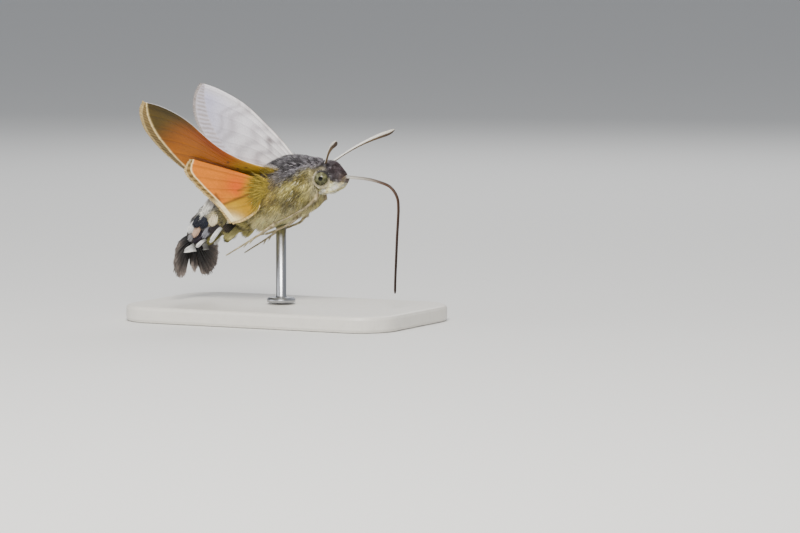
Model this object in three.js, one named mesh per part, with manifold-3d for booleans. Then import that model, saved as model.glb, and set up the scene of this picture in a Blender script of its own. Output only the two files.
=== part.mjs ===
// A hummingbird hawk moth, life size, hovering on a plain display stand.
// Millimetres, +Z up. The head faces +X and the animal's left is +Y. The origin is the middle of the
// underside of the stand's base. The animal is modelled level in its own body frame, whose origin is
// the middle of the thorax, and its group is then pitched nose up and lifted onto the rod.
// Its solids reach to the tips of the short coat, which itself is left to the finish.
import * as THREE from "three";
import { mergeVertices } from "three/addons/utils/BufferGeometryUtils.js";
import Module from "manifold-3d";

// Driving dimensions, in millimetres and degrees
const GAP = 0.3;
const PITCH = 23;
const THORAX_HEIGHT = 19.5;
const THORAX_FORWARD = 0.6;

const THORAX = { front: 6.8, back: -5.2, halfWidth: 4.1, halfHeight: 4.5 };
const ABDOMEN = { end: -18.3, halfWidth: 3.8, halfHeight: 3.8, rings: 7 };
const HEAD = { at: [6.7, 0, -1.25], nod: 30, halfLength: 2.3, halfWidth: 2.05, halfHeight: 2.5 };
const EYE = { at: [6.3, 1.6, -0.85], radius: 1.15 };
const WING_THICKNESS = 0.5;
const WING_EDGE = 0.32;
const VEIN = { height: 0.13, halfWidth: 0.22 };
const FAN = {
  length: 7.2,
  spread: 80,
  root: [-18.2, 0, -0.7],
  down: { left: 66, middle: 62, right: 54 },
};
const ANTENNA = {
  length: 11,
  root: [7.45, 0.95, 1.15],
  left: { out: 44, up: 8 },
  right: { out: 50, up: 5 },
};
const PROBOSCIS_RADIUS = 0.29;
const BASE = { length: 44, width: 27, height: 2.4, corner: 6, bevel: 0.5 };
const ROD = { radius: 0.75, flange: 2.1, flangeHeight: 0.7, at: -0.9 };

const wasm = await Module();
wasm.setup();

const RADIAN = Math.PI / 180;
const Y_AXIS = new THREE.Vector3(0, 1, 0);
const vector = (point) => new THREE.Vector3(...point);
const mix = (a, b, t) => a + (b - a) * t;
const mirrored = ([x, y, z], side) => [x, y * side, z];

// A geometry as a solid: shared vertices are merged, and the faces are turned outwards.
function solidOf(geometry, matrix = new THREE.Matrix4()) {
  const bare = new THREE.BufferGeometry();
  bare.setAttribute("position", geometry.getAttribute("position").clone());
  if (geometry.index) bare.setIndex(geometry.index.clone());
  bare.applyMatrix4(matrix);
  const merged = mergeVertices(bare, 1e-4);
  const places = merged.getAttribute("position").array;
  const corners = new Uint32Array(merged.index.array);
  const [a, b, c] = [new THREE.Vector3(), new THREE.Vector3(), new THREE.Vector3()];
  let volume = 0;
  for (let i = 0; i < corners.length; i += 3) {
    a.fromArray(places, corners[i] * 3);
    b.fromArray(places, corners[i + 1] * 3);
    c.fromArray(places, corners[i + 2] * 3);
    volume += a.dot(b.cross(c));
  }
  if (volume < 0) {
    for (let i = 0; i < corners.length; i += 3) {
      [corners[i + 1], corners[i + 2]] = [corners[i + 2], corners[i + 1]];
    }
  }
  return new wasm.Manifold(new wasm.Mesh({ numProp: 3, vertProperties: places, triVerts: corners }));
}

// The largest closed body of a solid, so that a cut leaves no loose scraps.
function largest(solid) {
  return solid.decompose().sort((a, b) => b.volume() - a.volume())[0];
}

function joined(solids) {
  return largest(solids.reduce((whole, solid) => whole.add(solid)));
}

// A named mesh made from a solid.
function meshOf(name, solid, colour, roughness = 0.8, metalness = 0) {
  const { vertProperties, triVerts, numProp } = largest(solid).getMesh();
  const count = vertProperties.length / numProp;
  const places = new Float32Array(count * 3);
  for (let i = 0; i < count; i += 1) {
    places.set(vertProperties.subarray(i * numProp, i * numProp + 3), i * 3);
  }
  const geometry = new THREE.BufferGeometry();
  geometry.setAttribute("position", new THREE.BufferAttribute(places, 3));
  geometry.setIndex(new THREE.BufferAttribute(triVerts, 1));
  geometry.computeVertexNormals();
  const material = new THREE.MeshStandardMaterial({ color: colour, roughness, metalness });
  const mesh = new THREE.Mesh(geometry, material);
  mesh.name = name;
  return mesh;
}

// A closed body swept through stations of [point, half-width, half-height], with round ends.
// The width lies along `side`; `grow` makes the body larger all round; `swell` scales each ring.
function sweep(stations, options = {}) {
  const { around = 12, along = 10, side = Y_AXIS, grow = 0, cap = 0.12, swell = () => 1 } = options;
  const { round = [35, 65] } = options;
  const path = new THREE.CatmullRomCurve3(stations.map(([at]) => vector(at)), false, "catmullrom", 0.5);
  const sizes = new THREE.SplineCurve(stations.map(([, wide, high]) => new THREE.Vector2(wide, high)));
  const rings = [];
  const capRings = round.map((angle) => [
    cap * (1 - Math.cos(angle * RADIAN)),
    Math.sin(angle * RADIAN),
  ]);
  rings.push(...capRings);
  for (let i = 0; i <= along; i += 1) rings.push([mix(cap, 1 - cap, i / along), 1]);
  for (const [t, share] of capRings.toReversed()) rings.push([1 - t, share]);

  const places = [];
  const corners = [];
  const pole = (t, sign) => {
    const point = path.getPoint(t).addScaledVector(path.getTangent(t), grow * sign);
    places.push(point.x, point.y, point.z);
  };
  pole(0, -1);
  for (const [t, share] of rings) {
    const tangent = path.getTangent(t);
    const across = side.clone().addScaledVector(tangent, -side.dot(tangent)).normalize();
    const upward = new THREE.Vector3().crossVectors(tangent, across);
    const middle = path.getPoint(t).addScaledVector(tangent, grow * (2 * t - 1));
    const size = sizes.getPoint(t);
    const wide = (size.x * swell(t) + grow) * share;
    const high = (size.y * swell(t) + grow) * share;
    for (let j = 0; j < around; j += 1) {
      const angle = (j / around) * 2 * Math.PI;
      const point = middle.clone();
      point.addScaledVector(across, wide * Math.cos(angle));
      point.addScaledVector(upward, high * Math.sin(angle));
      places.push(point.x, point.y, point.z);
    }
  }
  pole(1, 1);
  const last = rings.length * around + 1;
  for (let j = 0; j < around; j += 1) {
    const next = (j + 1) % around;
    corners.push(0, 1 + next, 1 + j);
    for (let i = 0; i < rings.length - 1; i += 1) {
      const [low, high] = [1 + i * around, 1 + (i + 1) * around];
      corners.push(low + j, low + next, high + next, low + j, high + next, high + j);
    }
    const top = last - around;
    corners.push(last, top + j, top + next);
  }
  const geometry = new THREE.BufferGeometry();
  geometry.setAttribute("position", new THREE.Float32BufferAttribute(places, 3));
  geometry.setIndex(corners);
  return solidOf(geometry);
}

// A flat, tapered lock or vane that leaves `root` along `direction` and bends towards `droop`.
function lock(shape) {
  const { root, direction, across, length, width } = shape;
  const { thick = 0.5, droop = [0, 0, 0], tip = 0.45, grow = 0 } = shape;
  const start = vector(root);
  const heading = vector(direction).normalize();
  const bend = vector(droop);
  const stations = [0, 0.35, 0.7, 1].map((t) => {
    const point = start.clone().addScaledVector(heading, length * t);
    point.addScaledVector(bend, length * t * t);
    const profile = mix(0.55, 1, Math.sin(Math.min(t / 0.7, 1) * Math.PI * 0.5)) * (t > 0.7 ? tip : 1);
    return [point.toArray(), (width / 2) * profile, (thick / 2) * (t > 0.7 ? 0.5 : 1)];
  });
  return sweep(stations, { around: 6, along: 3, side: vector(across), cap: 0.1, round: [], grow });
}

// Body: the thorax, and the abdomen with its rings and its side tufts
const thoraxStations = [
  [[THORAX.front, 0, 1.1], 1.5, 1.8],
  [[5.4, 0, 0.65], 2.6, 2.7],
  [[3.9, 0, 0.3], 3.35, 3.6],
  [[1.8, 0, 0.3], 4.0, 4.3],
  [[-0.6, 0, 0.25], THORAX.halfWidth, THORAX.halfHeight],
  [[-3.0, 0, 0.1], 3.9, 4.3],
  [[THORAX.back, 0, 0.05], 3.4, 3.75],
];
const thoraxSolid = (grow) => sweep(thoraxStations, { around: 28, along: 12, grow, cap: 0.1 });
const thoraxRoom = thoraxSolid(GAP);

const abdomenStations = [
  [[-4.4, 0, 0.1], 3.3, 3.6],
  [[-6.4, 0, 0.1], 3.7, 3.8],
  [[-8.8, 0, 0.3], ABDOMEN.halfWidth, 3.55],
  [[-11.4, 0, 0.4], 3.6, 3.1],
  [[-13.8, 0, 0.35], 3.2, 2.6],
  [[-16.2, 0, 0.0], 2.5, 1.9],
  [[ABDOMEN.end, 0, -0.8], 1.5, 1.1],
];

// Each ring of the abdomen is widest at its rear edge, where its scales overlap the next one.
const ringSwell = (t) => 0.985 + 0.045 * ((t * ABDOMEN.rings) % 1);
const abdomenSolid = (grow) =>
  sweep(abdomenStations, { around: 22, along: 18, grow, cap: 0.06, swell: ringSwell });

// The side tufts, front to back: where each leaves the body, and how far it reaches.
const TUFTS = [
  { at: [-11.4, 3.35, -1.2], length: 3.0, width: 1.5, down: 0.4, out: 0.2 },
  { at: [-13.3, 2.95, -1.0], length: 2.5, width: 1.3, down: 0.28, out: 0.22 },
  { at: [-14.9, 2.5, -1.2], length: 3.0, width: 1.4, down: 0.34, out: 0.22 },
  { at: [-15.0, 2.3, 0.9], length: 2.6, width: 1.3, down: 0.0, out: 0.2 },
];
const LOCKS_PER_TUFT = 3;

function tufts(side, grow = 0) {
  const made = [];
  for (const { at, length, width, down, out } of TUFTS) {
    for (let k = 0; k < LOCKS_PER_TUFT; k += 1) {
      const fan = k - (LOCKS_PER_TUFT - 1) / 2;
      const root = [at[0] + 0.55 * Math.abs(fan), (at[1] - 0.55) * side, at[2] + 0.5 * fan];
      made.push(
        lock({
          root,
          direction: [-1, (out + 0.05 * fan) * side, -down + 0.22 * fan],
          across: [0.3, -side * 0.25, 1],
          length: length * (1 - 0.1 * Math.abs(fan)) + 0.5,
          width,
          droop: [0, -0.12 * side, -0.04],
          tip: 0.3,
          grow,
        }),
      );
    }
  }
  return made;
}

const abdomenCore = abdomenSolid(0).subtract(thoraxRoom);
const abdomen = joined([abdomenCore, ...tufts(1), ...tufts(-1)]).subtract(thoraxRoom);
const abdomenRoom = abdomenSolid(GAP);
const abdomenTuftRoom = joined([abdomenRoom, ...tufts(1, GAP * 0.8), ...tufts(-1, GAP * 0.8)]);

// Tail fan: two large lobes and a small middle one, each of spatulate vanes in two tiers
function fanVane(angle, down, length, tier) {
  const turn = angle * RADIAN;
  const fanAxis = [-Math.cos(down * RADIAN), 0, -Math.sin(down * RADIAN)];
  const fanUpper = [-Math.sin(down * RADIAN), 0, Math.cos(down * RADIAN)];
  const direction = [fanAxis[0] * Math.cos(turn), Math.sin(turn), fanAxis[2] * Math.cos(turn)];
  const across = [-fanAxis[0] * Math.sin(turn), Math.cos(turn), -fanAxis[2] * Math.sin(turn)];
  const raise = 0.38 * tier;
  const root = FAN.root.map((value, axis) => value + direction[axis] * 0.8 + fanUpper[axis] * raise);
  return lock({
    root,
    direction,
    across,
    length: length - 0.8,
    width: 1.5 - 0.15 * tier,
    thick: 0.55,
    droop: fanUpper.map((value) => -0.14 * value),
    tip: 0.66,
  });
}

// A lobe's vanes are longest in its middle, which gives it a round edge.
function fanLobe(from, to, count, reach, down) {
  const vanes = [];
  for (let k = 0; k < count; k += 1) {
    const share = k / (count - 1);
    const bow = Math.sin(share * Math.PI);
    vanes.push(fanVane(mix(from, to, share), down, reach * (0.84 + 0.16 * bow), 0));
    if (k < count - 1) {
      const next = mix(from, to, (k + 0.5) / (count - 1));
      vanes.push(fanVane(next, down, reach * (0.62 + 0.12 * bow), 1));
    }
  }
  return vanes;
}

const fanMiddle = joined(fanLobe(-5, 5, 3, FAN.length * 0.7, FAN.down.middle)).subtract(abdomenRoom);
const fanMiddleRoom = sweep(
  [0, 0.4, 0.8].map((share) => [
    [
      FAN.root[0] - Math.cos(FAN.down.middle * RADIAN) * FAN.length * share,
      0,
      FAN.root[2] - Math.sin(FAN.down.middle * RADIAN) * FAN.length * share,
    ],
    1.15 + 0.3 * share,
    2.2,
  ]),
  { around: 16, along: 4, cap: 0.1 },
);
const fanSide = (word, side) => {
  const lobe = joined(fanLobe(25 * side, FAN.spread * side, 5, FAN.length, FAN.down[word]));
  return lobe.subtract(abdomenTuftRoom).subtract(fanMiddleRoom);
};

// Head: skull, eyes in their sockets, the two palps that make the snout, antennae and proboscis
const headTurn = new THREE.Matrix4().makeRotationY(HEAD.nod * RADIAN);
const fromHead = ([x, y, z]) => vector([x, y, z]).applyMatrix4(headTurn).add(vector(HEAD.at)).toArray();

const skullStations = [
  [fromHead([-HEAD.halfLength, 0, 0.55]), 1.6, 1.95],
  [fromHead([-0.9, 0, 0.5]), 2.0, 2.42],
  [fromHead([0.4, 0, 0.42]), HEAD.halfWidth, HEAD.halfHeight],
  [fromHead([1.6, 0, 0.36]), 1.6, 1.76],
  [fromHead([2.6, 0, 0.25]), 0.95, 1.1],
];
const skull = sweep(skullStations, { around: 22, along: 8, cap: 0.14 });
const skullRoom = sweep(skullStations, { around: 22, along: 8, cap: 0.14, grow: GAP });

function ball(at, radius, detail) {
  const matrix = new THREE.Matrix4().makeTranslation(...at);
  return solidOf(new THREE.IcosahedronGeometry(radius, detail), matrix);
}
const eye = (side) => ball(mirrored(EYE.at, side), EYE.radius, 3);
const eyeRoom = (side) => ball(mirrored(EYE.at, side), EYE.radius + GAP * 0.7, 3);

// The collar of the thorax closes round the backs of the eyes.
const thorax = largest(thoraxSolid(0).subtract(eyeRoom(1)).subtract(eyeRoom(-1)));

// The proboscis runs forward from between the palps, bends, and hangs into the flower that it fed at.
const proboscisPath = [
  [8.4, 0, -1.55],
  [9.4, 0, -1.82],
  [11.1, 0, -2.65],
  [12.8, 0, -3.57],
  [14.25, 0, -4.6],
  [15.3, 0, -5.55],
  [15.8, 0, -6.6],
  [15.9, 0, -7.8],
  [15.5, 0, -9.1],
  [14.75, 0, -10.7],
  [13.6, 0, -13.0],
  [12.3, 0, -15.7],
  [11.1, 0, -18.2],
  [10.1, 0, -20.4],
];
const PROBOSCIS_CUTS = [0, 4, 8, proboscisPath.length - 1];
const proboscisLength = (part) => {
  const points = proboscisPath.slice(PROBOSCIS_CUTS[part], PROBOSCIS_CUTS[part + 1] + 1);
  const ends = [points[0], points.at(-1)].map(vector);
  const inward = [points[1], points.at(-2)].map(vector);
  ends.forEach((end, k) => {
    if (part + k > 0 && part + k < 3) end.addScaledVector(inward[k].sub(end).normalize(), GAP / 2);
  });
  points[0] = ends[0].toArray();
  points[points.length - 1] = ends[1].toArray();
  const total = proboscisPath.length - 1;
  const radius = (k) => PROBOSCIS_RADIUS * mix(1, 0.84, (PROBOSCIS_CUTS[part] + k) / total);
  return sweep(
    points.map((at, k) => [at, radius(k), radius(k)]),
    { around: 8, along: 10, cap: 0.03 },
  );
};
const proboscisRoom = sweep(
  proboscisPath.slice(0, 4).map((at) => [at, PROBOSCIS_RADIUS, PROBOSCIS_RADIUS]),
  { around: 10, along: 6, cap: 0.05, grow: GAP * 0.8 },
);

const palpStations = (side) => [
  [mirrored([5.0, 0.85, -1.95], side), 0.6, 0.65],
  [mirrored([5.9, 0.9, -2.35], side), 0.8, 0.85],
  [mirrored([7.2, 0.85, -2.4], side), 0.75, 0.85],
  [mirrored([8.5, 0.7, -2.25], side), 0.52, 0.64],
  [mirrored([9.35, 0.55, -1.95], side), 0.3, 0.36],
];
const palp = (side) =>
  [proboscisRoom, thoraxRoom, eyeRoom(side)].reduce(
    (solid, room) => solid.subtract(room),
    sweep(palpStations(side), { around: 12, along: 8, cap: 0.12 }),
  );
const palpRoom = (side) =>
  sweep(palpStations(side), { around: 12, along: 9, cap: 0.12, grow: GAP * 0.8 });
const head = largest(
  [thoraxRoom, eyeRoom(1), eyeRoom(-1), palpRoom(1), palpRoom(-1), proboscisRoom].reduce(
    (solid, room) => solid.subtract(room),
    skull,
  ),
);

function antenna(side) {
  const start = vector(mirrored(ANTENNA.root, side));
  const aim = side > 0 ? ANTENNA.left : ANTENNA.right;
  const [out, up] = [aim.out * RADIAN, aim.up * RADIAN];
  const level = Math.cos(up);
  const heading = vector([Math.cos(out) * level, Math.sin(out) * level * side, Math.sin(up)]);
  const profile = [
    [-0.08, 0.3],
    [0.1, 0.26],
    [0.35, 0.27],
    [0.6, 0.34],
    [0.8, 0.42],
    [0.92, 0.38],
    [1, 0.14],
  ];
  const stations = profile.map(([t, radius]) => {
    const point = start.clone().addScaledVector(heading, ANTENNA.length * t);
    point.z += 0.9 * Math.sin(Math.PI * t) * 0.5 + (t > 0.95 ? 0.18 : 0);
    return [point.toArray(), radius, radius];
  });
  return sweep(stations, { around: 8, along: 11, cap: 0.04 })
    .subtract(skullRoom)
    .subtract(eyeRoom(side));
}

// Wings: a curved membrane between leading edge, outer margin and trailing edge, in span and chord.
// Its outer band, past the crease, is folded a little against the rest of the wing.
function curveOf(points) {
  return new THREE.SplineCurve(points.map(([s, c]) => new THREE.Vector2(s, c)));
}

function wing(plan, pose, side) {
  const leading = curveOf(plan.leading);
  const trailing = curveOf(plan.trailing);
  const margin = curveOf(plan.margin);
  const span = vector(pose.span).normalize();
  const chord = vector(pose.chord);
  chord.addScaledVector(span, -chord.dot(span)).normalize();
  const upper = new THREE.Vector3().crossVectors(span, chord);
  const root = vector(pose.root);
  const corners = [leading.getPoint(0), trailing.getPoint(0), leading.getPoint(1), trailing.getPoint(1)];

  // The crease meets the edges at the shares of their lengths that the plan gives.
  const edgeShare = (u, atCrease) =>
    u < plan.crease
      ? (u / plan.crease) * atCrease
      : mix(atCrease, 1, (u - plan.crease) / (1 - plan.crease));
  const flat = (u, v) => {
    const front = leading.getPoint(edgeShare(u, plan.creaseAt[0]));
    const rear = trailing.getPoint(edgeShare(u, plan.creaseAt[1]));
    const outer = margin.getPoint(v);
    const reach = u * u;
    const blend = (key) => {
      const inner = mix(corners[0][key], corners[1][key], v);
      const plain = mix(inner, mix(corners[2][key], corners[3][key], v), reach);
      return mix(front[key], rear[key], v) + mix(inner, outer[key], reach) - plain;
    };
    return new THREE.Vector2(blend("x"), blend("y"));
  };
  const surface = (u, v) => {
    const at = flat(u, v);
    const share = THREE.MathUtils.clamp(at.x / plan.length, 0, 1);
    const depth = at.y / plan.chordLength;
    const bow = Math.sin(Math.PI * share);
    let lift = -pose.bend * bow + pose.wave * Math.sin(2 * Math.PI * share) + pose.twist * share * depth;
    lift += plan.camber * Math.sin(Math.PI * THREE.MathUtils.clamp(depth, 0, 1)) * bow;
    if (u > plan.crease) lift += pose.fold * at.distanceTo(flat(plan.crease, v));
    const point = root.clone().addScaledVector(span, at.x).addScaledVector(chord, at.y);
    return point.addScaledVector(upper, lift);
  };
  const normal = (u, v) => {
    const step = 0.004;
    const [u0, u1] = [Math.max(u - step, 0), Math.min(u + step, 1)];
    const [v0, v1] = [Math.max(v - step, 0), Math.min(v + step, 1)];
    const alongSpan = surface(u1, v).sub(surface(u0, v));
    const alongChord = surface(u, v1).sub(surface(u, v0));
    return alongSpan.cross(alongChord).normalize();
  };

  // Columns follow the veins: one on each crest, one on each foot and one between two veins.
  const columns = [{ v: 0, foot: 0, crest: 0 }];
  plan.veins.forEach((v, k) => {
    const before = k === 0 ? 0 : plan.veins[k - 1];
    if (k > 0) columns.push({ v: (before + v) / 2, foot: 0, crest: 0 });
    const room = 0.35 * Math.min(v - before, (plan.veins[k + 1] ?? 1) - v);
    for (const foot of [-1, 0, 1]) columns.push({ v, foot, crest: foot === 0 ? 1 : 0, room });
  });
  columns.push({ v: (plan.veins.at(-1) + 1) / 2, foot: 0, crest: 0 });
  columns.push({ v: 1, foot: 0, crest: 0 });

  const count = columns.length;
  const rows = plan.rows + plan.bandRows;
  const places = [];
  for (let i = 0; i <= rows; i += 1) {
    const inBand = i - plan.rows;
    const u = inBand < 0 ? (i / plan.rows) * plan.crease : mix(plan.crease, 1, inBand / plan.bandRows);
    const width = surface(u, 0).distanceTo(surface(u, 1));
    columns.forEach(({ v, foot, crest, room }, j) => {
      const at = v + foot * Math.min(VEIN.halfWidth / width, room ?? 0);
      const onEdge = i === rows || j === 0 || j === count - 1;
      const half = (onEdge ? WING_EDGE : WING_THICKNESS) / 2;
      const ridge = crest * VEIN.height * (onEdge ? 0.4 : 1);
      const [middle, out] = [surface(u, at), normal(u, at)];
      for (const face of [1, -1]) {
        const point = middle.clone().addScaledVector(out, face * (half + ridge));
        places.push(point.x, point.y * side, point.z);
      }
    });
  }
  const vertex = (i, j, face) => (i * count + j) * 2 + face;
  const index = [];
  const quad = (a, b, c, d) => index.push(a, b, c, a, c, d);
  for (let i = 0; i < rows; i += 1) {
    for (let j = 0; j < count - 1; j += 1) {
      quad(vertex(i, j, 0), vertex(i + 1, j, 0), vertex(i + 1, j + 1, 0), vertex(i, j + 1, 0));
      index.push(vertex(i, j, 1), vertex(i + 1, j + 1, 1), vertex(i + 1, j, 1));
      index.push(vertex(i, j, 1), vertex(i, j + 1, 1), vertex(i + 1, j + 1, 1));
    }
    quad(vertex(i, 0, 0), vertex(i, 0, 1), vertex(i + 1, 0, 1), vertex(i + 1, 0, 0));
    const j = count - 1;
    quad(vertex(i, j, 0), vertex(i + 1, j, 0), vertex(i + 1, j, 1), vertex(i, j, 1));
  }
  for (let j = 0; j < count - 1; j += 1) {
    quad(vertex(0, j, 0), vertex(0, j + 1, 0), vertex(0, j + 1, 1), vertex(0, j, 1));
    quad(vertex(rows, j, 0), vertex(rows, j, 1), vertex(rows, j + 1, 1), vertex(rows, j + 1, 0));
  }
  const geometry = new THREE.BufferGeometry();
  geometry.setAttribute("position", new THREE.Float32BufferAttribute(places, 3));
  geometry.setIndex(index);
  return largest(solidOf(geometry).subtract(thoraxRoom).subtract(abdomenRoom));
}

const forewing = {
  leading: [[0, -0.2], [5, -0.3], [10, -0.45], [15, -0.75], [19.5, 0.0], [22.4, 1.0]],
  margin: [[22.4, 1.0], [22.3, 3.4], [20.6, 6.2], [17.2, 8.3], [13.4, 9.3]],
  trailing: [[0, 2.2], [3.2, 3.2], [6.6, 5.3], [10.2, 7.9], [13.4, 9.3]],
  length: 23,
  chordLength: 9.3,
  crease: 0.86,
  creaseAt: [0.975, 0.84],
  camber: 0.45,
  veins: [0.07, 0.22, 0.38, 0.54, 0.7, 0.86],
  rows: 10,
  bandRows: 2,
};
const hindwing = {
  leading: [[0, -0.4], [4, -0.35], [8.4, -0.35], [12.6, 0.1]],
  margin: [[12.6, 0.1], [12.9, 2.1], [10.4, 3.4], [7.9, 4.3], [5.6, 5.1], [3.1, 6.45]],
  trailing: [[0, 1.6], [-0.8, 3.6], [-0.4, 5.2], [1.2, 6.4], [3.1, 6.45]],
  length: 13,
  chordLength: 6.5,
  crease: 0.84,
  creaseAt: [0.97, 0.86],
  camber: 0.3,
  veins: [0.1, 0.28, 0.46, 0.64, 0.82],
  rows: 7,
  bandRows: 2,
};

// The two sides are not quite alike: the wings were caught in mid stroke, each bent by the air.
// Each pose is written for the left; the right side's is mirrored when it is built.
const WING_POSE = {
  left: {
    fore: {
      root: [1.62, 2.77, 2.04],
      span: [-0.509, 0.125, 0.852],
      chord: [-0.8, 0.297, -0.522],
      bend: 1.37,
      wave: -0.24,
      twist: -0.12,
      fold: 0.4,
    },
    hind: {
      root: [-1.9, 3.4, 0.9],
      span: [-0.8, 0.2, 0.56],
      chord: [-0.56, 0.05, -0.82],
      bend: 0.3,
      wave: 0,
      twist: 0,
      fold: 0.35,
    },
  },
  right: {
    fore: {
      root: [0.72, 2.79, 2.68],
      span: [-0.587, 0.262, 0.766],
      chord: [-0.651, -0.715, -0.254],
      bend: 1.44,
      wave: -0.59,
      twist: -4.0,
      fold: 0.25,
    },
    hind: {
      root: [-1.9, 3.65, 0.9],
      span: [-0.735, 0.06, 0.675],
      chord: [-0.65, 0.18, -0.74],
      bend: 0.3,
      wave: 0,
      twist: 0,
      fold: 0.35,
    },
  },
};

// Legs: femur, tibia and tarsus, folded against the body in flight, the hind pair trailing
const LEGS = {
  fore: {
    joints: [[4.2, 1.5, -3.15], [2.1, 2.1, -3.85], [-0.9, 2.3, -4.15], [-3.3, 2.2, -4.1]],
    spurs: 0,
  },
  mid: {
    joints: [[1.3, 1.1, -4.5], [-1.2, 1.55, -5.0], [-4.0, 1.2, -5.0], [-6.6, 0.9, -4.7]],
    spurs: 1,
  },
  hind: {
    joints: [[-3.6, 2.1, -4.25], [-5.4, 2.5, -4.65], [-8.2, 2.8, -5.1], [-12.1, 2.9, -5.6]],
    spurs: 2,
  },
};
const LEG_RADII = [[0.42, 0.34], [0.3, 0.27], [0.26, 0.16]];

function leg({ joints, spurs }, side) {
  const pieces = LEG_RADII.map(([from, to], k) => {
    const [start, end] = [mirrored(joints[k], side), mirrored(joints[k + 1], side)];
    const middle = start.map((value, axis) => (value + end[axis]) / 2);
    const stations = [
      [start, from, from],
      [middle, mix(from, to, 0.4), mix(from, to, 0.4)],
      [end, to, to],
    ];
    return sweep(stations, { around: 6, along: 3, cap: 0.08 });
  });
  for (let k = 0; k < spurs; k += 1) {
    const at = vector(mirrored(joints[2], side)).lerp(vector(mirrored(joints[1], side)), 0.04 + 0.4 * k);
    pieces.push(
      lock({
        root: at.toArray(),
        direction: [-1, 0.35 * side, -0.5],
        across: [0, 1, 0],
        length: 1.2,
        width: 0.4,
        thick: 0.4,
        tip: 0.4,
      }),
    );
  }
  return joined(pieces).subtract(thoraxRoom).subtract(abdomenRoom);
}

// The animal, pitched nose up over the stand
const animal = new THREE.Group();
animal.rotation.y = -PITCH * RADIAN;
animal.position.set(THORAX_FORWARD, 0, THORAX_HEIGHT);
animal.updateMatrix();

const COLOUR = {
  coat: "#8a8268",
  belly: "#c9bd8e",
  tail: "#2a2624",
  forewing: "#8d7a66",
  hindwing: "#d98a35",
  eye: "#3b3a22",
  feeler: "#cfcac0",
  leg: "#a79a80",
  proboscis: "#4a2f20",
  base: "#e8e6e1",
  rod: "#b9bcc0",
};
animal.add(meshOf("thorax", thorax, COLOUR.coat, 0.95));
animal.add(meshOf("abdomen", abdomen, COLOUR.coat, 0.95));
animal.add(meshOf("tail_fan_middle", fanMiddle, COLOUR.tail, 0.9));
animal.add(meshOf("head", head, COLOUR.coat, 0.95));
for (let part = 0; part < 3; part += 1) {
  const solid = part === 0 ? proboscisLength(part).subtract(skullRoom) : proboscisLength(part);
  animal.add(meshOf(`proboscis_${["base", "bend", "tip"][part]}`, solid, COLOUR.proboscis, 0.45));
}
for (const [word, side] of [["left", 1], ["right", -1]]) {
  animal.add(meshOf(`eye_${word}`, eye(side), COLOUR.eye, 0.2));
  animal.add(meshOf(`palp_${word}`, palp(side), COLOUR.belly, 0.95));
  animal.add(meshOf(`antenna_${word}`, antenna(side), COLOUR.feeler, 0.6));
  const front = wing(forewing, WING_POSE[word].fore, side);
  const rear = wing(hindwing, WING_POSE[word].hind, side);
  animal.add(meshOf(`forewing_${word}`, front, COLOUR.forewing, 0.75));
  animal.add(meshOf(`hindwing_${word}`, rear, COLOUR.hindwing, 0.75));
  animal.add(meshOf(`tail_fan_${word}`, fanSide(word, side), COLOUR.tail, 0.9));
  for (const [pair, plan] of Object.entries(LEGS)) {
    animal.add(meshOf(`leg_${pair}_${word}`, leg(plan, side), COLOUR.leg, 0.7));
  }
}

// Stand: a flat base with round corners, and one rod with a foot that holds the thorax from below
function roundedPlate({ length, width, height, corner, bevel }) {
  const [x, y, r] = [length / 2 - bevel, width / 2 - bevel, corner - bevel];
  const outline = new THREE.Shape();
  outline.moveTo(x, y - r);
  outline.absarc(x - r, y - r, r, 0, Math.PI / 2);
  outline.absarc(-x + r, y - r, r, Math.PI / 2, Math.PI);
  outline.absarc(-x + r, -y + r, r, Math.PI, 1.5 * Math.PI);
  outline.absarc(x - r, -y + r, r, 1.5 * Math.PI, 2 * Math.PI);
  const geometry = new THREE.ExtrudeGeometry(outline, {
    depth: height - 2 * bevel,
    bevelThickness: bevel,
    bevelSize: bevel,
    bevelSegments: 1,
    curveSegments: 6,
  });
  geometry.deleteAttribute("normal");
  geometry.deleteAttribute("uv");
  return solidOf(geometry, new THREE.Matrix4().makeTranslation(0, 0, bevel));
}

function rodSolid() {
  const [foot, top] = [BASE.height + GAP, THORAX_HEIGHT];
  const shoulder = foot + ROD.flangeHeight;
  const profile = [
    [0, foot],
    [ROD.flange, foot],
    [ROD.flange, shoulder - 0.25],
    [ROD.flange - 0.25, shoulder],
    [ROD.radius, shoulder],
    [ROD.radius, top],
    [0, top],
  ].map(([radius, height]) => new THREE.Vector2(radius, height));
  const lathe = new THREE.LatheGeometry(profile, 20);
  const upright = new THREE.Matrix4().makeRotationX(Math.PI / 2);
  const matrix = new THREE.Matrix4().makeTranslation(ROD.at, 0, 0).multiply(upright);
  const room = sweep(
    thoraxStations.map(([at, wide, high]) => [
      vector(at).applyMatrix4(animal.matrix).toArray(),
      wide,
      high,
    ]),
    { around: 28, along: 12, grow: GAP, cap: 0.1 },
  );
  return largest(solidOf(lathe, matrix).subtract(room));
}

const model = new THREE.Group();
model.add(animal);
model.add(meshOf("stand_base", roundedPlate(BASE), COLOUR.base, 0.5));
model.add(meshOf("stand_rod", rodSolid(), COLOUR.rod, 0.3, 0.9));

export default model;
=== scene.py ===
"""Looks of a hummingbird hawk moth that hovers on a plain display stand.

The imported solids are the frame. Skin, coat, wings and feelers are built over them here, in metres.
Shapes are written in millimetres in the animal's level body frame, x forward, y left and z up, whose
origin is the middle of the thorax, and are then pitched and lifted to their place on the stand.
"""

import math
from functools import partial

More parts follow.
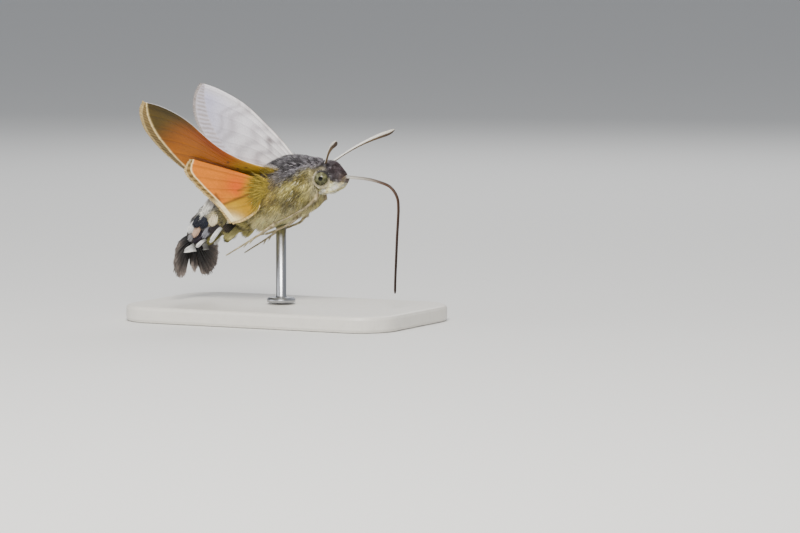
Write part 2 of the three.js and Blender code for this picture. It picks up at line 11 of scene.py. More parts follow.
import bpy
import numpy as np
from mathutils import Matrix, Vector


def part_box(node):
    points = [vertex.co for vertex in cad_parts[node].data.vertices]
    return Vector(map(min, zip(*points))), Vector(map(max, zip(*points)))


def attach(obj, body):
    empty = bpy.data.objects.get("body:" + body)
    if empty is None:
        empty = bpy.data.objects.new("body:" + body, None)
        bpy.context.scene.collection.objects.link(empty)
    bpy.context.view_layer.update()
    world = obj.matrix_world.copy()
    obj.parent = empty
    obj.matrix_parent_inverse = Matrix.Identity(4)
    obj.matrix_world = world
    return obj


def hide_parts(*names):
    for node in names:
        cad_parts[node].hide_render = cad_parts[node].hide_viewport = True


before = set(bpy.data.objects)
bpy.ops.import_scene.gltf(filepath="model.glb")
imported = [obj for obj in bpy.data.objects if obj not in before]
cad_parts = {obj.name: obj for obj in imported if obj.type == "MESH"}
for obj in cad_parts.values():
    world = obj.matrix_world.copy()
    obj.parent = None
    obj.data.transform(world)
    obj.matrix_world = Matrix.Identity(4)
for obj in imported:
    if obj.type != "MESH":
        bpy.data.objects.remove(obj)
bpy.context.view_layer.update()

MM = 0.001
SIDES = {"left": 1, "right": -1}


# helpers
def pitched(degrees):
    """Turn of a frame whose front is lifted by the angle."""
    c, s = math.cos(math.radians(degrees)), math.sin(math.radians(degrees))
    return np.array([[c, 0, -s], [0, 1, 0], [s, 0, c]])


BODY_AT = np.array([0.6, 0.0, 19.5])
BODY_TURN = pitched(23)
HEAD_AT = np.array([6.7, 0.0, -1.25])
HEAD_TURN = pitched(-30)


def to_world(points):
    return (np.asarray(points) @ BODY_TURN.T + BODY_AT) * MM


def unit(v):
    return v / np.maximum(np.linalg.norm(v, axis=-1, keepdims=True), 1e-9)


def mix(a, b, w):
    w = np.asarray(w)[..., None]
    return np.asarray(a) * (1 - w) + np.asarray(b) * w


def step(low, high, x):
    t = np.clip((np.asarray(x, float) - low) / (high - low), 0, 1)
    return t * t * (3 - 2 * t)


def blob(x, y, cx, cy, rx, ry):
    return np.exp(-(((x - cx) / rx) ** 2) - ((y - cy) / ry) ** 2)


def colour(*rgb):
    """Linear colour of a screen colour given from 0 to 255."""
    c = np.array(rgb, float) / 255
    return np.where(c <= 0.04045, c / 12.92, ((c + 0.055) / 1.055) ** 2.4)


def between(a, b, w):
    """Linear colour on the way from one screen colour to another."""
    return mix(colour(*a), colour(*b), w)


def painted(tint, *layers):
    """A tint with screen colours laid over it one by one, each with its weight at every point."""
    for rgb, weight in layers:
        tint = mix(tint, colour(*rgb), weight)
    return tint


def noise(p, scale, seed=0):
    """Smooth noise at points, a sum of a few slanted waves, mostly between -1 and 1."""
    r = np.random.default_rng(seed)
    total = np.zeros(len(p))
    for _ in range(7):
        direction = r.normal(size=3)
        total += np.sin(p @ direction * scale * r.uniform(0.6, 1.5) + r.uniform(0, 6.3))
    return total / 4


def spline(points, t):
    """Point at share t of a smooth curve through the points."""
    p = np.asarray(points, float)
    q = np.clip(np.asarray(t, float), 0, 1) * (len(p) - 1)
    i = np.minimum(q.astype(int), len(p) - 2)
    w = (q - i)[..., None]
    p0, p1 = p[np.maximum(i - 1, 0)], p[i]
    p2, p3 = p[i + 1], p[np.minimum(i + 2, len(p) - 1)]
    v0, v1 = (p2 - p0) / 2, (p3 - p1) / 2
    return (2 * p1 - 2 * p2 + v0 + v1) * w**3 + (3 * p2 - 3 * p1 - 2 * v0 - v1) * w**2 + v0 * w + p1


def through(table, x):
    """Smooth values of a table's further columns at x, its first column rising."""
    rows = np.asarray(table, float)
    xs, ys = rows[:, 0], rows[:, 1:]
    slope = np.gradient(ys, xs, axis=0)
    i = np.clip(np.searchsorted(xs, x) - 1, 0, len(xs) - 2)
    h = (xs[i + 1] - xs[i])[..., None]
    t = np.clip((x - xs[i])[..., None] / h, 0, 1)
    a, b = 2 * t**3 - 3 * t**2 + 1, t**3 - 2 * t**2 + t
    c, d = 3 * t**2 - 2 * t**3, t**3 - t**2
    return a * ys[i] + b * h * slope[i] + c * ys[i + 1] + d * h * slope[i + 1]


def run_along(curve, share, gap):
    """How far a curve runs from just before a share to just after it."""
    return curve(np.clip(share + gap, 0, 1)) - curve(np.clip(share - gap, 0, 1))


def turns(count):
    """Angles of places spread evenly round a full turn."""
    return np.arange(count) / count * 2 * math.pi


def linked(name, data):
    """A new object of the scene with this data."""
    made = bpy.data.objects.new(name, data)
    bpy.context.scene.collection.objects.link(made)
    return made


def add_mesh(name, verts, tris, material, slot, nodes=(), tint=None, uv=None, smooth=True):
    """A piece of the animal from arrays, in metres, that rides on the body and stands for CAD nodes."""
    mesh = bpy.data.meshes.new(name)
    mesh.from_pydata(np.asarray(verts).tolist(), [], np.asarray(tris).tolist())
    mesh.polygons.foreach_set("use_smooth", np.full(len(mesh.polygons), smooth))
    if tint is not None:
        layer = mesh.color_attributes.new(name="Tint", type="FLOAT_COLOR", domain="POINT")
        rgba = np.ones((len(verts), 4), np.float32)
        rgba[:, :3] = np.clip(tint, 0, 1)
        layer.data.foreach_set("color", rgba.ravel())
    if uv is not None:
        layer = mesh.uv_layers.new(name="OFBake")
        corners = np.empty(len(mesh.loops), np.int32)
        mesh.loops.foreach_get("vertex_index", corners)
        layer.data.foreach_set("uv", np.asarray(uv, np.float32)[corners].ravel())
    mesh.update()
    mesh.materials.append(material)
    piece = linked(name, mesh)
    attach(piece, "root")
    if nodes:
        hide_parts(*nodes)
    return piece


def stacked(parts):
    """One set of vertices, faces and further arrays from several sets."""
    starts = np.cumsum([0] + [len(part[0]) for part in parts])
    faces = np.vstack([part[1] + start for part, start in zip(parts, starts)])
    others = [np.vstack(arrays) for arrays in list(zip(*parts))[2:]]
    return [np.vstack([part[0] for part in parts]), faces, *others]


def join(name, parts, material, slot, nodes=()):
    """One piece from several sets of vertices, faces, tints and, where they have one, bake map."""
    verts, faces, *others = stacked(parts)
    return add_mesh(name, to_world(verts), faces, material, slot, nodes, *others)


def grid_faces(rows, cols, wrap=False):
    """Triangles of a grid of rows by cols vertices, whose columns may close on themselves."""
    i = np.arange(rows - 1)[:, None] * cols
    j = np.arange(cols if wrap else cols - 1)[None, :]
    k = (j + 1) % cols
    a, b, c, d = i + j, i + k, i + cols + k, i + cols + j
    return np.stack([np.stack([a, b, c], -1), np.stack([a, c, d], -1)], -2).reshape(-1, 3)


def closed_rings(verts, cols):
    """Vertices and triangles of rings of cols vertices, joined one to the next and closed at both ends."""
    rows, first, last = len(verts) // cols, len(verts), len(verts) + 1
    j = np.arange(cols)
    k = (j + 1) % cols
    rear = (rows - 1) * cols
    front_cap = np.stack([np.full(cols, first), k, j], 1)
    rear_cap = np.stack([np.full(cols, last), rear + j, rear + k], 1)
    verts = np.vstack([verts, verts[:cols].mean(0), verts[-cols:].mean(0)])
    return verts, np.vstack([grid_faces(rows, cols, wrap=True), front_cap, rear_cap])


# materials
def material(name):
    made = bpy.data.materials.new(name)
    made.use_nodes = True
    tree = made.node_tree
    return made, tree, tree.nodes["Principled BSDF"]


def put(made, **values):
    """Sets a node's inputs, and its own settings where it has no input of the name."""
    for key, value in values.items():
        if key in made.inputs:
            made.inputs[key].default_value = value
        else:
            setattr(made, key, value)


def node(tree, kind, **values):
    made = tree.nodes.new(kind)
    put(made, **values)
    return made


def noise_texture(tree, scale, detail, stretch=None):
    """Height of a noise in the object's own space, which a stretch may draw out along an axis."""
    place = node(tree, "ShaderNodeTexCoord").outputs["Object"]
    if stretch:
        shape = node(tree, "ShaderNodeMapping", Scale=stretch)
        tree.links.new(place, shape.inputs["Vector"])
        place = shape.outputs["Vector"]
    grain = node(tree, "ShaderNodeTexNoise", Scale=scale, Detail=detail)
    tree.links.new(place, grain.inputs["Vector"])
    return grain.outputs["Fac"]


def raise_bump(tree, shader, height, strength, distance):
    relief = node(tree, "ShaderNodeBump", Strength=strength, Distance=distance)
    tree.links.new(height, relief.inputs["Height"])
    tree.links.new(relief.outputs["Normal"], shader.inputs["Normal"])


def mixed(tree, kind, factor, a, b):
    """A colour mix node; a and b are sockets or colours, and factor a socket or a number."""
    made = tree.nodes.new("ShaderNodeMix")
    made.data_type = "RGBA"
    made.blend_type = kind
    for place, value in ((0, factor), (6, a), (7, b)):
        socket = made.inputs[place]
        if isinstance(value, bpy.types.NodeSocket):
            tree.links.new(value, socket)
        else:
            socket.default_value = value if place == 0 else (*value, 1)
    return made.outputs[2]


def tinted(name, rough, speck=0.25, scale=2500, bump=0.3, bump_scale=6000, sheen=0.0):
    """The piece's own tint, mottled at the size of scales, with a fine bump."""
    made, tree, shader = material(name)
    tint = node(tree, "ShaderNodeAttribute", attribute_name="Tint")
    levels = {"From Min": 0.3, "From Max": 0.7, "To Min": 1 - speck, "To Max": 1 + speck}
    ramp = node(tree, "ShaderNodeMapRange", **levels)
    tree.links.new(noise_texture(tree, scale, 4.0), ramp.inputs["Value"])
    grey = node(tree, "ShaderNodeCombineColor")
    for part in ("Red", "Green", "Blue"):
        tree.links.new(ramp.outputs["Result"], grey.inputs[part])
    tone = mixed(tree, "MULTIPLY", 1.0, tint.outputs["Color"], grey.outputs["Color"])
    tree.links.new(tone, shader.inputs["Base Color"])
    raise_bump(tree, shader, noise_texture(tree, bump_scale, 2.0), bump, 0.00005)
    put(shader, **{"Roughness": rough, "Specular IOR Level": 0.3, "Sheen Weight": sheen})
    return made


COAT = tinted("coat_hair", 0.72, speck=0.16, sheen=0.15)
SKIN = tinted("coat_ground", 0.9, speck=0.3, scale=3500, bump=0.8)
WING = tinted("wing_scales", 0.62, speck=0.1, scale=4200, bump=0.5, bump_scale=5200)
FRINGE = tinted("wing_fringe", 0.75, speck=0.12)
SCALES = tinted("feeler_scales", 0.55, speck=0.15, scale=5000, bump=0.6)
HORN = tinted("proboscis_horn", 0.35, speck=0.1, scale=3000, bump=0.3)
EYE = tinted("eye_facets", 0.16, speck=0.05, scale=6000, bump=0.15, bump_scale=9000)
FAN = tinted("tail_scales", 0.6, speck=0.14, sheen=0.1)


# the animal's outline, as in the solids
BODY = [  # x, centre height, half-width, half-height, back to front, out to the coat's tips
    [-18.7, -0.9, 0.9, 0.7],
    [-18.0, -0.75, 1.6, 1.2],
    [-16.2, 0.0, 2.5, 1.9],
    [-13.8, 0.35, 3.2, 2.6],
    [-11.4, 0.4, 3.6, 3.1],
    [-8.8, 0.3, 3.8, 3.55],
    [-6.4, 0.1, 3.72, 3.8],
    [-5.0, 0.05, 3.65, 4.0],
    [-3.0, 0.1, 3.9, 4.3],
    [-0.6, 0.25, 4.1, 4.5],
    [1.8, 0.3, 4.0, 4.3],
    [3.9, 0.3, 3.35, 3.6],
    [5.4, 0.62, 2.55, 2.75],
    [6.4, 0.95, 1.9, 2.2],
    [7.1, 1.1, 1.4, 1.6],
]
BODY_SPAN = (-18.7, 7.1)
HEAD_SPAN = (-2.3, 2.6)
HEAD = [  # forward, centre height, half-width, half-height
    [-2.3, 0.55, 1.6, 1.95],
    [-0.9, 0.5, 2.0, 2.42],
    [0.4, 0.42, 2.05, 2.5],
    [1.6, 0.36, 1.6, 1.76],
    [2.6, 0.25, 0.95, 1.1],
]
PALP = [[5.0, 0.85, -1.95], [5.9, 0.9, -2.35], [7.2, 0.85, -2.4], [8.5, 0.7, -2.25], [9.35, 0.55, -1.95]]
PALP_SIZE = [[0.6, 0.65], [0.8, 0.85], [0.75, 0.85], [0.52, 0.64], [0.3, 0.36]]
EYE_AT = np.array([6.3, 1.6, -0.85])
EYE_RADIUS = 1.15
SKIN_DEPTH = {"body": 0.6, "head": 0.3, "palp": 0.15}
ABDOMEN_SHALLOWER = 0.12


def rounded(share):
    """Size of a round end at a share of its depth, from 0 at its tip to 1."""
    return np.sqrt(np.clip(1 - (1 - np.clip(share, 0, 1)) ** 2, 0, 1))


def ends(t):
    """Share of the full size at t from 0 to 1, round at both ends."""
    cap = 0.1
    return rounded(t / cap) * rounded((1 - t) / cap)


def oval(along, size, depth, share, least, phi):
    """Point of an oval section at an angle, a depth under the tips of the coat."""
    wide = np.maximum(size[..., 1] - depth, least) * share
    high = np.maximum(size[..., 2] - depth, least) * share
    return np.stack([along, wide * np.sin(phi), size[..., 0] + high * np.cos(phi)], -1)


def body_skin(t, phi):
    x = BODY_SPAN[1] + (BODY_SPAN[0] - BODY_SPAN[1]) * t
    depth = SKIN_DEPTH["body"] - ABDOMEN_SHALLOWER * step(0.45, 0.6, t)
    return oval(x, through(BODY, x), depth, ends(t), 0.15, phi)


def head_skin(t, phi):
    forward = HEAD_SPAN[0] + (HEAD_SPAN[1] - HEAD_SPAN[0]) * t
    share = rounded((1 - t) / 0.18) * rounded(t / 0.1)
    return oval(forward, through(HEAD, forward), SKIN_DEPTH["head"], share, 0.1, phi) @ HEAD_TURN.T + HEAD_AT


def in_head(p):
    """Points in the nodding head's own frame."""
    return (p - HEAD_AT) @ HEAD_TURN


def eye_distance(p):
    """Distance of points from the middle of the nearer eye."""
    return np.linalg.norm(np.stack([p[:, 0], np.abs(p[:, 1]), p[:, 2]], 1) - EYE_AT, axis=1)


def palp_skin(t, phi, side):
    size = np.maximum(spline(PALP_SIZE, t) - SKIN_DEPTH["palp"], 0.08) * ends(t)[..., None]
    along = unit(run_along(lambda share: spline(PALP, share), t, 0.01))
    across = unit(np.cross([0.0, 0.0, 1.0], along))
    upward = np.cross(along, across)
    sideways = across * (size[..., :1] * np.sin(phi)[..., None])
    return (spline(PALP, t) + sideways + upward * (size[..., 1:] * np.cos(phi)[..., None])) * [1, side, 1]


def runs(surface, t, phi):
    """How far a surface of share and angle runs along the share, and round the angle."""
    gap = 0.004
    return run_along(lambda share: surface(share, phi), t, gap), surface(t, phi + gap) - surface(t, phi - gap)


def frame_of(surface, t, phi):
    """Point, outward normal and direction towards the tail on a surface of share and angle."""
    p = surface(t, phi)
    back, across = runs(surface, t, phi)
    normal = unit(np.cross(across, back))
    middle = surface(t, np.zeros_like(t)) + surface(t, np.full_like(t, math.pi))
    flip = np.sign(np.sum(normal * (p - middle / 2), -1, keepdims=True))
    return p, normal * np.where(flip == 0, 1, flip), unit(back)


# markings, the same for skin and coat
def top_colour(p, seed):
    return painted(
        between((50, 46, 50), (120, 116, 122), step(-0.6, 0.8, noise(p, 5.0, seed))),
        ((186, 182, 184), step(0.55, 1.1, noise(p, 11.0, seed + 9)) * 0.7),
        ((84, 62, 66), blob(p[:, 0], p[:, 2], 9.0, 0.5, 1.6, 2) * 0.7),
    )


def side_colour(p, seed):
    streaks = p * [0.5, 1, 1]
    return painted(
        between((114, 102, 46), (198, 184, 104), step(-0.5, 0.8, noise(p * [1, 1, 1.6], 2.4, seed))),
        ((60, 54, 32), step(0.2, 0.9, noise(streaks, 5.5, seed + 5)) * 0.75),
        ((224, 216, 178), step(0.5, 1.0, noise(streaks, 6.5, seed + 6)) * 0.6),
    )


def thorax_colour(p, seed=3):
    x, z, out = p[:, 0], p[:, 2], np.abs(p[:, 1])
    border = 0.75 + 0.12 * (x - 1) - 0.5 * step(3.5, 6, x) + 0.35 * noise(p, 1.3, seed + 1)
    return painted(
        mix(side_colour(p, seed), top_colour(p, seed + 2), step(-0.5, 0.6, z - border)),
        ((240, 226, 164), step(-1.5, -3.2, z + 0.18 * x + 0.25 * noise(p, 1.6, seed + 4)) * 0.85),
        ((186, 158, 66), blob(x, z, -1.6, 0.6, 2.2, 1.7) * step(2.0, 3.2, out) * 0.8),
        ((224, 214, 172), blob(x, z, 5.2, -1.6, 1.0, 0.9) * 0.8),
        ((232, 222, 182), blob(x, z, 5.9, -0.7, 0.8, 1.5) * step(1.3, 1.9, out) * 0.85),
    )


RING_LENGTH = 1.95
SPOTS = [  # x, z, radii, colour, strength, on both sides of the abdomen
    [-12.2, 2.3, 1.3, 1.1, (246, 243, 232), 1.0],
    [-13.2, 1.0, 0.9, 0.8, (244, 240, 228), 0.9],
    [-14.3, 0.4, 1.1, 1.0, (26, 32, 48), 1.0],
    [-13.2, -0.4, 1.0, 0.8, (30, 28, 34), 0.95],
    [-15.6, -0.4, 0.7, 0.7, (206, 170, 140), 0.9],
    [-15.3, -1.5, 0.8, 0.6, (38, 26, 40), 0.95],
    [-14.3, -1.8, 0.7, 0.5, (150, 150, 156), 0.8],
    [-12.5, -1.4, 0.8, 0.6, (176, 170, 160), 0.7],
    [-11.8, -0.4, 0.8, 0.9, (232, 214, 170), 0.8],
    [-16.6, 0.8, 0.8, 0.8, (240, 236, 226), 0.6],
    [-10.2, -0.6, 0.8, 0.7, (60, 48, 34), 0.6],
]


def abdomen_colour(p, seed=23):
    x, z = p[:, 0], p[:, 2]
    on_side = step(1.0, 2.0, np.abs(p[:, 1]))
    top = between((86, 78, 64), (126, 116, 92), step(-0.4, 0.7, noise(p, 4.0, seed)))
    low = between((110, 100, 50), (176, 164, 96), step(-0.5, 0.7, noise(p, 2.6, seed + 1)))
    ring = 0.5 + 0.5 * np.sin(x * 2 * math.pi / RING_LENGTH)
    tint = mix(low, top, step(-0.9, 0.9, z - 0.6)) * (0.8 + 0.3 * ring[:, None])
    layers = [((40, 33, 36), step(-12.2, -14.0, x) * step(2.4, 1.2, z) * 0.85)]
    for cx, cz, rx, rz, rgb, strength in SPOTS:
        layers.append((rgb, np.clip(1.5 * blob(x, z, cx, cz, rx, rz), 0, 1) * on_side * strength))
    return painted(tint, *layers, ((40, 34, 32), step(-15.8, -17.6, x) * 0.8))


def body_colour(p):
    return mix(thorax_colour(p), abdomen_colour(p), step(-4.6, -6.6, p[:, 0]))


def head_colour(p, seed=41):
    local = in_head(p)
    f, h = local[:, 0], local[:, 2]
    under = between((238, 224, 168), (255, 248, 222), step(-0.5, 0.5, noise(p, 3, seed)))
    ring = np.exp(-(((eye_distance(p) - EYE_RADIUS - 0.3) / 0.32) ** 2)) * step(0.9, -0.9, f + 0.6 * h)
    return painted(
        mix(under, top_colour(p, seed), step(-0.5, 0.25, h + 0.12 * noise(p, 2, seed))),
        ((226, 214, 170), ring * 0.9),
        ((140, 112, 96), blob(f, h, 2.2, 0.9, 0.8, 0.6) * 0.6),
    )


def palp_colour(p, seed=61):
    pale = between((244, 230, 176), (255, 250, 228), step(-0.5, 0.5, noise(p, 3, seed)))
    return mix(pale, colour(92, 76, 66), step(-0.35, 0.05, in_head(p)[:, 2]) * 0.9)


# skin
SKIN_VOXEL = 0.16 * MM


def make_skin():
    rows, cols = 90, 64
    t, phi = (grid.ravel() for grid in np.meshgrid(np.linspace(0, 1, rows), turns(cols), indexing="ij"))
    lofts = [body_skin(t, phi), head_skin(t, phi), palp_skin(t, phi, 1), palp_skin(t, phi, -1)]
    verts, faces = stacked([closed_rings(loft, cols) for loft in lofts])
    mesh = bpy.data.meshes.new("skin_parts")
    mesh.from_pydata(to_world(verts).tolist(), [], faces.tolist())
    rough = linked("skin_parts", mesh)
    remesh = rough.modifiers.new("whole", "REMESH")
    remesh.mode = "VOXEL"
    remesh.voxel_size = SKIN_VOXEL
    rough.modifiers.new("soft", "SMOOTH").iterations = 6
    made = bpy.data.meshes.new_from_object(rough.evaluated_get(bpy.context.evaluated_depsgraph_get()))
    bpy.data.objects.remove(rough)
    world = np.array([vertex.co[:] for vertex in made.vertices])
    made.calc_loop_triangles()
    faces = [triangle.vertices[:] for triangle in made.loop_triangles]
    p = (world / MM - BODY_AT) @ BODY_TURN
    local = in_head(p)
    headness = step(-1.6, -0.8, local[:, 0])
    snout = step(1.6, 2.1, local[:, 0]) + step(-1.0, -1.35, local[:, 2])
    tint = mix(body_colour(p), head_colour(p), headness)
    # the skin is darkened to 0.8 as painted shade under the coat
    tint = mix(tint, palp_colour(p), np.clip(snout * headness, 0, 1)) * 0.8
    add_mesh("skin", world, faces, SKIN, "thorax_coat", ["thorax", "abdomen", "head"], tint)


# coat
BAKE_PATCH = 0.003
TUFT_SUNK = 0.12
TUFT_FACES = [
    [0, 2, 1], [0, 1, 4], [0, 4, 3], [1, 2, 5], [1, 5, 4],
    [2, 0, 3], [2, 3, 5], [3, 4, 6], [4, 5, 6], [5, 3, 6],
]
# painted shade towards each tuft's root, painted highlight at its tip and along its upper edge
TUFT_SHADE = np.array([0.62, 0.62, 0.68, 0.98, 0.98, 1.05, 1.18])
TUFT_MAP = np.array([[0, 0], [1, 0], [0.5, 0.4], [0, 0.6], [1, 0.6], [0.5, 0.8], [0.5, 1]]) * BAKE_PATCH


def tuft_mesh(root, normal, back, length, width, lift, tint, patch):
    """Tapered tufts, one from each root: seven vertices and ten faces each."""
    def leaning(angle):
        return unit(back * np.cos(angle)[:, None] + normal * np.sin(angle)[:, None])

    length, width = length[:, None], width[:, None]
    side = unit(np.cross(normal, back))
    first = leaning(lift)
    up = unit(np.cross(first, side))
    base = root - normal * TUFT_SUNK
    middle = base + first * length * 0.55
    verts = []
    for centre, size in ((base, 0.8), (middle, 1.0)):
        for a, b in ((-0.5, 0.0), (0.5, 0.0), (0.0, 0.4)):
            verts.append(centre + side * width * a * size + up * width * b * size)
    verts.append(middle + leaning(lift * 0.45) * length * 0.45)
    faces = np.arange(len(root))[:, None, None] * 7 + TUFT_FACES
    tints = tint[:, None, :] * TUFT_SHADE[None, :, None]
    uv = patch[:, None, :] + TUFT_MAP[None]
    return np.stack(verts, 1).reshape(-1, 3), faces.reshape(-1, 3), tints.reshape(-1, 3), uv.reshape(-1, 2)


def grow(surface, count, seed):
    """Random places on a surface of share and angle, evenly spread over its area."""
    r = np.random.default_rng(seed)
    t, phi = r.uniform(0.004, 0.996, count * 3), r.uniform(0, 2 * math.pi, count * 3)
    area = np.linalg.norm(np.cross(*runs(surface, t, phi)), axis=1)
    keep = r.uniform(0, 1, len(t)) < area / np.quantile(area, 0.98)
    return t[keep][:count], phi[keep][:count]


def add_coat(name, surface, count, length, width, lift, paint, slot, seed, keep, jitter=0.25, sway=None):
    """Tufts all over a surface, where `keep` lets them stand; the length is a number or follows the place."""
    t, phi = grow(surface, count, seed)
    p, normal, back = frame_of(surface, t, phi)
    r = np.random.default_rng(seed + 1)
    stay = keep(p)
    t, phi, p, normal, back = t[stay], phi[stay], p[stay], normal[stay], back[stay]
    side = unit(np.cross(normal, back))
    if sway:
        back = unit(back + sway(p))
        back = unit(back - normal * np.sum(back * normal, 1, keepdims=True))
    clump = noise(p, 1.5, seed + 2)[:, None] * 0.5 + r.normal(0, 1, (len(p), 1))
    back = unit(back + side * clump * jitter)
    streaks = np.stack([p[:, 0] * 0.35 + p[:, 2] * 0.3, p[:, 1], p[:, 2] - 0.55 * p[:, 0]], 1)
    vary = r.uniform(0.7, 1.25, len(p))
    speck = r.normal(1.0, 0.28, (len(p), 1)).clip(0.3, 2.2)
    tint = paint(p) * speck * np.exp(0.4 * noise(streaks, 3.0, 7))[:, None]
    patch = np.stack([phi / (2 * math.pi), t], 1) * 0.99
    long = (length(p) if callable(length) else length) * vary
    wide = width * r.uniform(0.8, 1.25, len(p))
    made = tuft_mesh(p, normal, back, long, wide, lift * vary, tint, patch)
    return join(name, [made], COAT, slot)


def clear_of_eyes(p, margin):
    return eye_distance(p) > EYE_RADIUS + margin


def outside_head(p):
    local = in_head(p)
    size = through(HEAD, np.clip(local[:, 0], *HEAD_SPAN))
    inside = (local[:, 1] / size[:, 1]) ** 2 + ((local[:, 2] - size[:, 0]) / size[:, 2]) ** 2 < 0.8
    return ~(inside & (local[:, 0] > -1.9))


def make_coat():
    def sway(p):
        down = np.zeros_like(p)
        down[:, 2] = -0.55 * step(0.5, 2.5, np.abs(p[:, 1])) * step(3.5, 1.0, p[:, 2])
        return down

    def on_thorax(p):
        return (p[:, 0] > -5.4) & outside_head(p) & clear_of_eyes(p, 0.14)

    def on_abdomen(p):
        return (p[:, 0] <= -4.6) & (p[:, 0] > -18.2)

    def thorax_length(p):
        full = 1.25 + 0.45 * step(1.5, -2.5, p[:, 2]) + 0.3 * step(-2.0, -5.0, p[:, 0])
        return full * (1 - 0.5 * step(3.6, 5.6, p[:, 0]))

    def abdomen_length(p):
        return 1.15 + 0.2 * np.sin(p[:, 0] * 3.2)

    # surface, tufts in one piece, their length, width and lift, colour, slot
    thorax = (body_skin, 23000, thorax_length, 0.13, 0.62, thorax_colour, "thorax_coat")
    abdomen = (body_skin, 26000, abdomen_length, 0.16, 0.5, abdomen_colour, "abdomen_coat")
    head = (head_skin, 15000, 0.62, 0.09, 0.55, head_colour, "head_coat")
    for k in range(3):
        add_coat(f"coat_thorax_{k + 1}", *thorax, 100 + 10 * k, on_thorax, sway=sway)
    for k in range(2):
        add_coat(f"coat_abdomen_{k + 1}", *abdomen, 200 + 10 * k, on_abdomen, jitter=0.16)
    add_coat("coat_head", *head, 300, lambda p: clear_of_eyes(p, 0.05), jitter=0.2)
    for word, side in SIDES.items():
        palp = (partial(palp_skin, side=side), 3500, 0.42, 0.09, 0.4, palp_colour, "palp_coat")
        piece = add_coat(f"coat_palp_{word}", *palp, 320 + side, lambda p: clear_of_eyes(p, 0.02), jitter=0.15)
        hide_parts(f"palp_{word}")


# long flat scales: side tufts, tail fan, and the hair of wings, legs and eye rims
def strands(roots, tips, width, dark, pale, patch, across, bow=0.0, cuts=4, taper=0.35, sharp=1.5):
    """Closed flat strips from dark roots to pale tips, wide along `across` and bowed in the middle."""
    n = len(roots)
    along = unit(tips - roots)
    side = unit(across - along * np.sum(across * along, 1, keepdims=True))
    up = np.cross(along, side)
    verts, tints, uvs = [], [], []
    for k in range(cuts + 1):
        w = k / cuts
        centre = roots * (1 - w) + tips * w + bow * (4 * w * (1 - w))
        swell = 0.55 + 0.45 * math.sin(min(w / 0.6, 1) * math.pi / 2)
        shape = swell * (1 - (1 - taper) * max(0, (w - 0.6) / 0.4) ** 2)
        half = (width * shape / 2)[:, None]
        for a, b in ((-1, 0), (0, 0.3), (1, 0), (0, -0.3)):
            verts.append(centre + side * half * a + up * half * b)
            tints.append(mix(dark, pale, np.full(n, w**sharp)))
            uvs.append(patch + np.array([0.5 + 0.5 * a, w]) * BAKE_PATCH)
    last = cuts * 4
    caps = [[0, 1, 2], [0, 2, 3], [last, last + 2, last + 1], [last, last + 3, last + 2]]
    strip = np.vstack([grid_faces(cuts + 1, 4, wrap=True), caps])
    faces = np.arange(n)[:, None, None] * (last + 4) + strip
    verts, tints, uvs = (np.stack(rows, 1) for rows in (verts, tints, uvs))
    return verts.reshape(-1, 3), faces.reshape(-1, 3), tints.reshape(-1, 3), uvs.reshape(-1, 2)


SIDE_TUFTS = [  # root, tip, spread at the root and at the tip, count, colour; on both sides
    [(-11.3, -2.9, 2.9), (-13.0, -3.25, 1.2), 0.55, 0.75, 190, (252, 249, 240)],
    [(-11.0, -3.2, 1.3), (-12.6, -3.45, -0.9), 0.6, 0.7, 150, (246, 232, 196)],
    [(-11.5, -3.1, -1.5), (-13.8, -3.5, -3.0), 0.25, 0.3, 150, (255, 255, 252)],
    [(-13.0, -2.9, -0.8), (-14.9, -3.2, -1.9), 0.35, 0.45, 120, (150, 150, 160)],
    [(-15.0, -2.5, -2.1), (-16.7, -2.8, -2.7), 0.15, 0.3, 80, (255, 253, 248)],
    [(-15.3, -2.4, 1.1), (-17.0, -2.9, -0.4), 0.35, 0.45, 120, (252, 251, 248)],
    [(-16.3, -2.3, -0.5), (-17.6, -2.7, -1.4), 0.3, 0.45, 80, (150, 148, 152)],
    [(-14.7, -2.65, 0.1), (-16.4, -3.05, -1.2), 0.35, 0.45, 110, (222, 186, 160)],
    [(-17.3, -2.2, -2.5), (-19.8, -2.6, -2.5), 0.65, 0.12, 150, (255, 255, 252)],
    [(-12.6, -3.0, 0.9), (-14.5, -3.3, -0.4), 0.6, 0.7, 190, (22, 28, 46)],
    [(-13.9, -2.8, 1.4), (-15.7, -3.1, 0.0), 0.5, 0.6, 150, (24, 27, 42)],
    [(-12.2, -2.7, -2.1), (-14.9, -2.6, -2.9), 0.5, 0.55, 130, (120, 114, 56)],
    [(-14.2, -2.5, -0.9), (-16.9, -2.9, -1.9), 0.55, 0.5, 170, (34, 24, 38)],
    [(-11.6, -3.0, -0.7), (-13.6, -3.3, -1.6), 0.5, 0.5, 130, (46, 38, 40)],
    [(-9.2, -3.3, -1.6), (-11.0, -3.5, -2.4), 0.6, 0.7, 110, (52, 42, 28)],
    [(-9.4, -2.6, -2.4), (-11.8, -2.7, -3.2), 0.8, 0.8, 150, (206, 196, 128)],
    [(-8.6, -3.5, -0.6), (-9.9, -3.75, -1.5), 0.5, 0.3, 40, (236, 230, 206)],
]


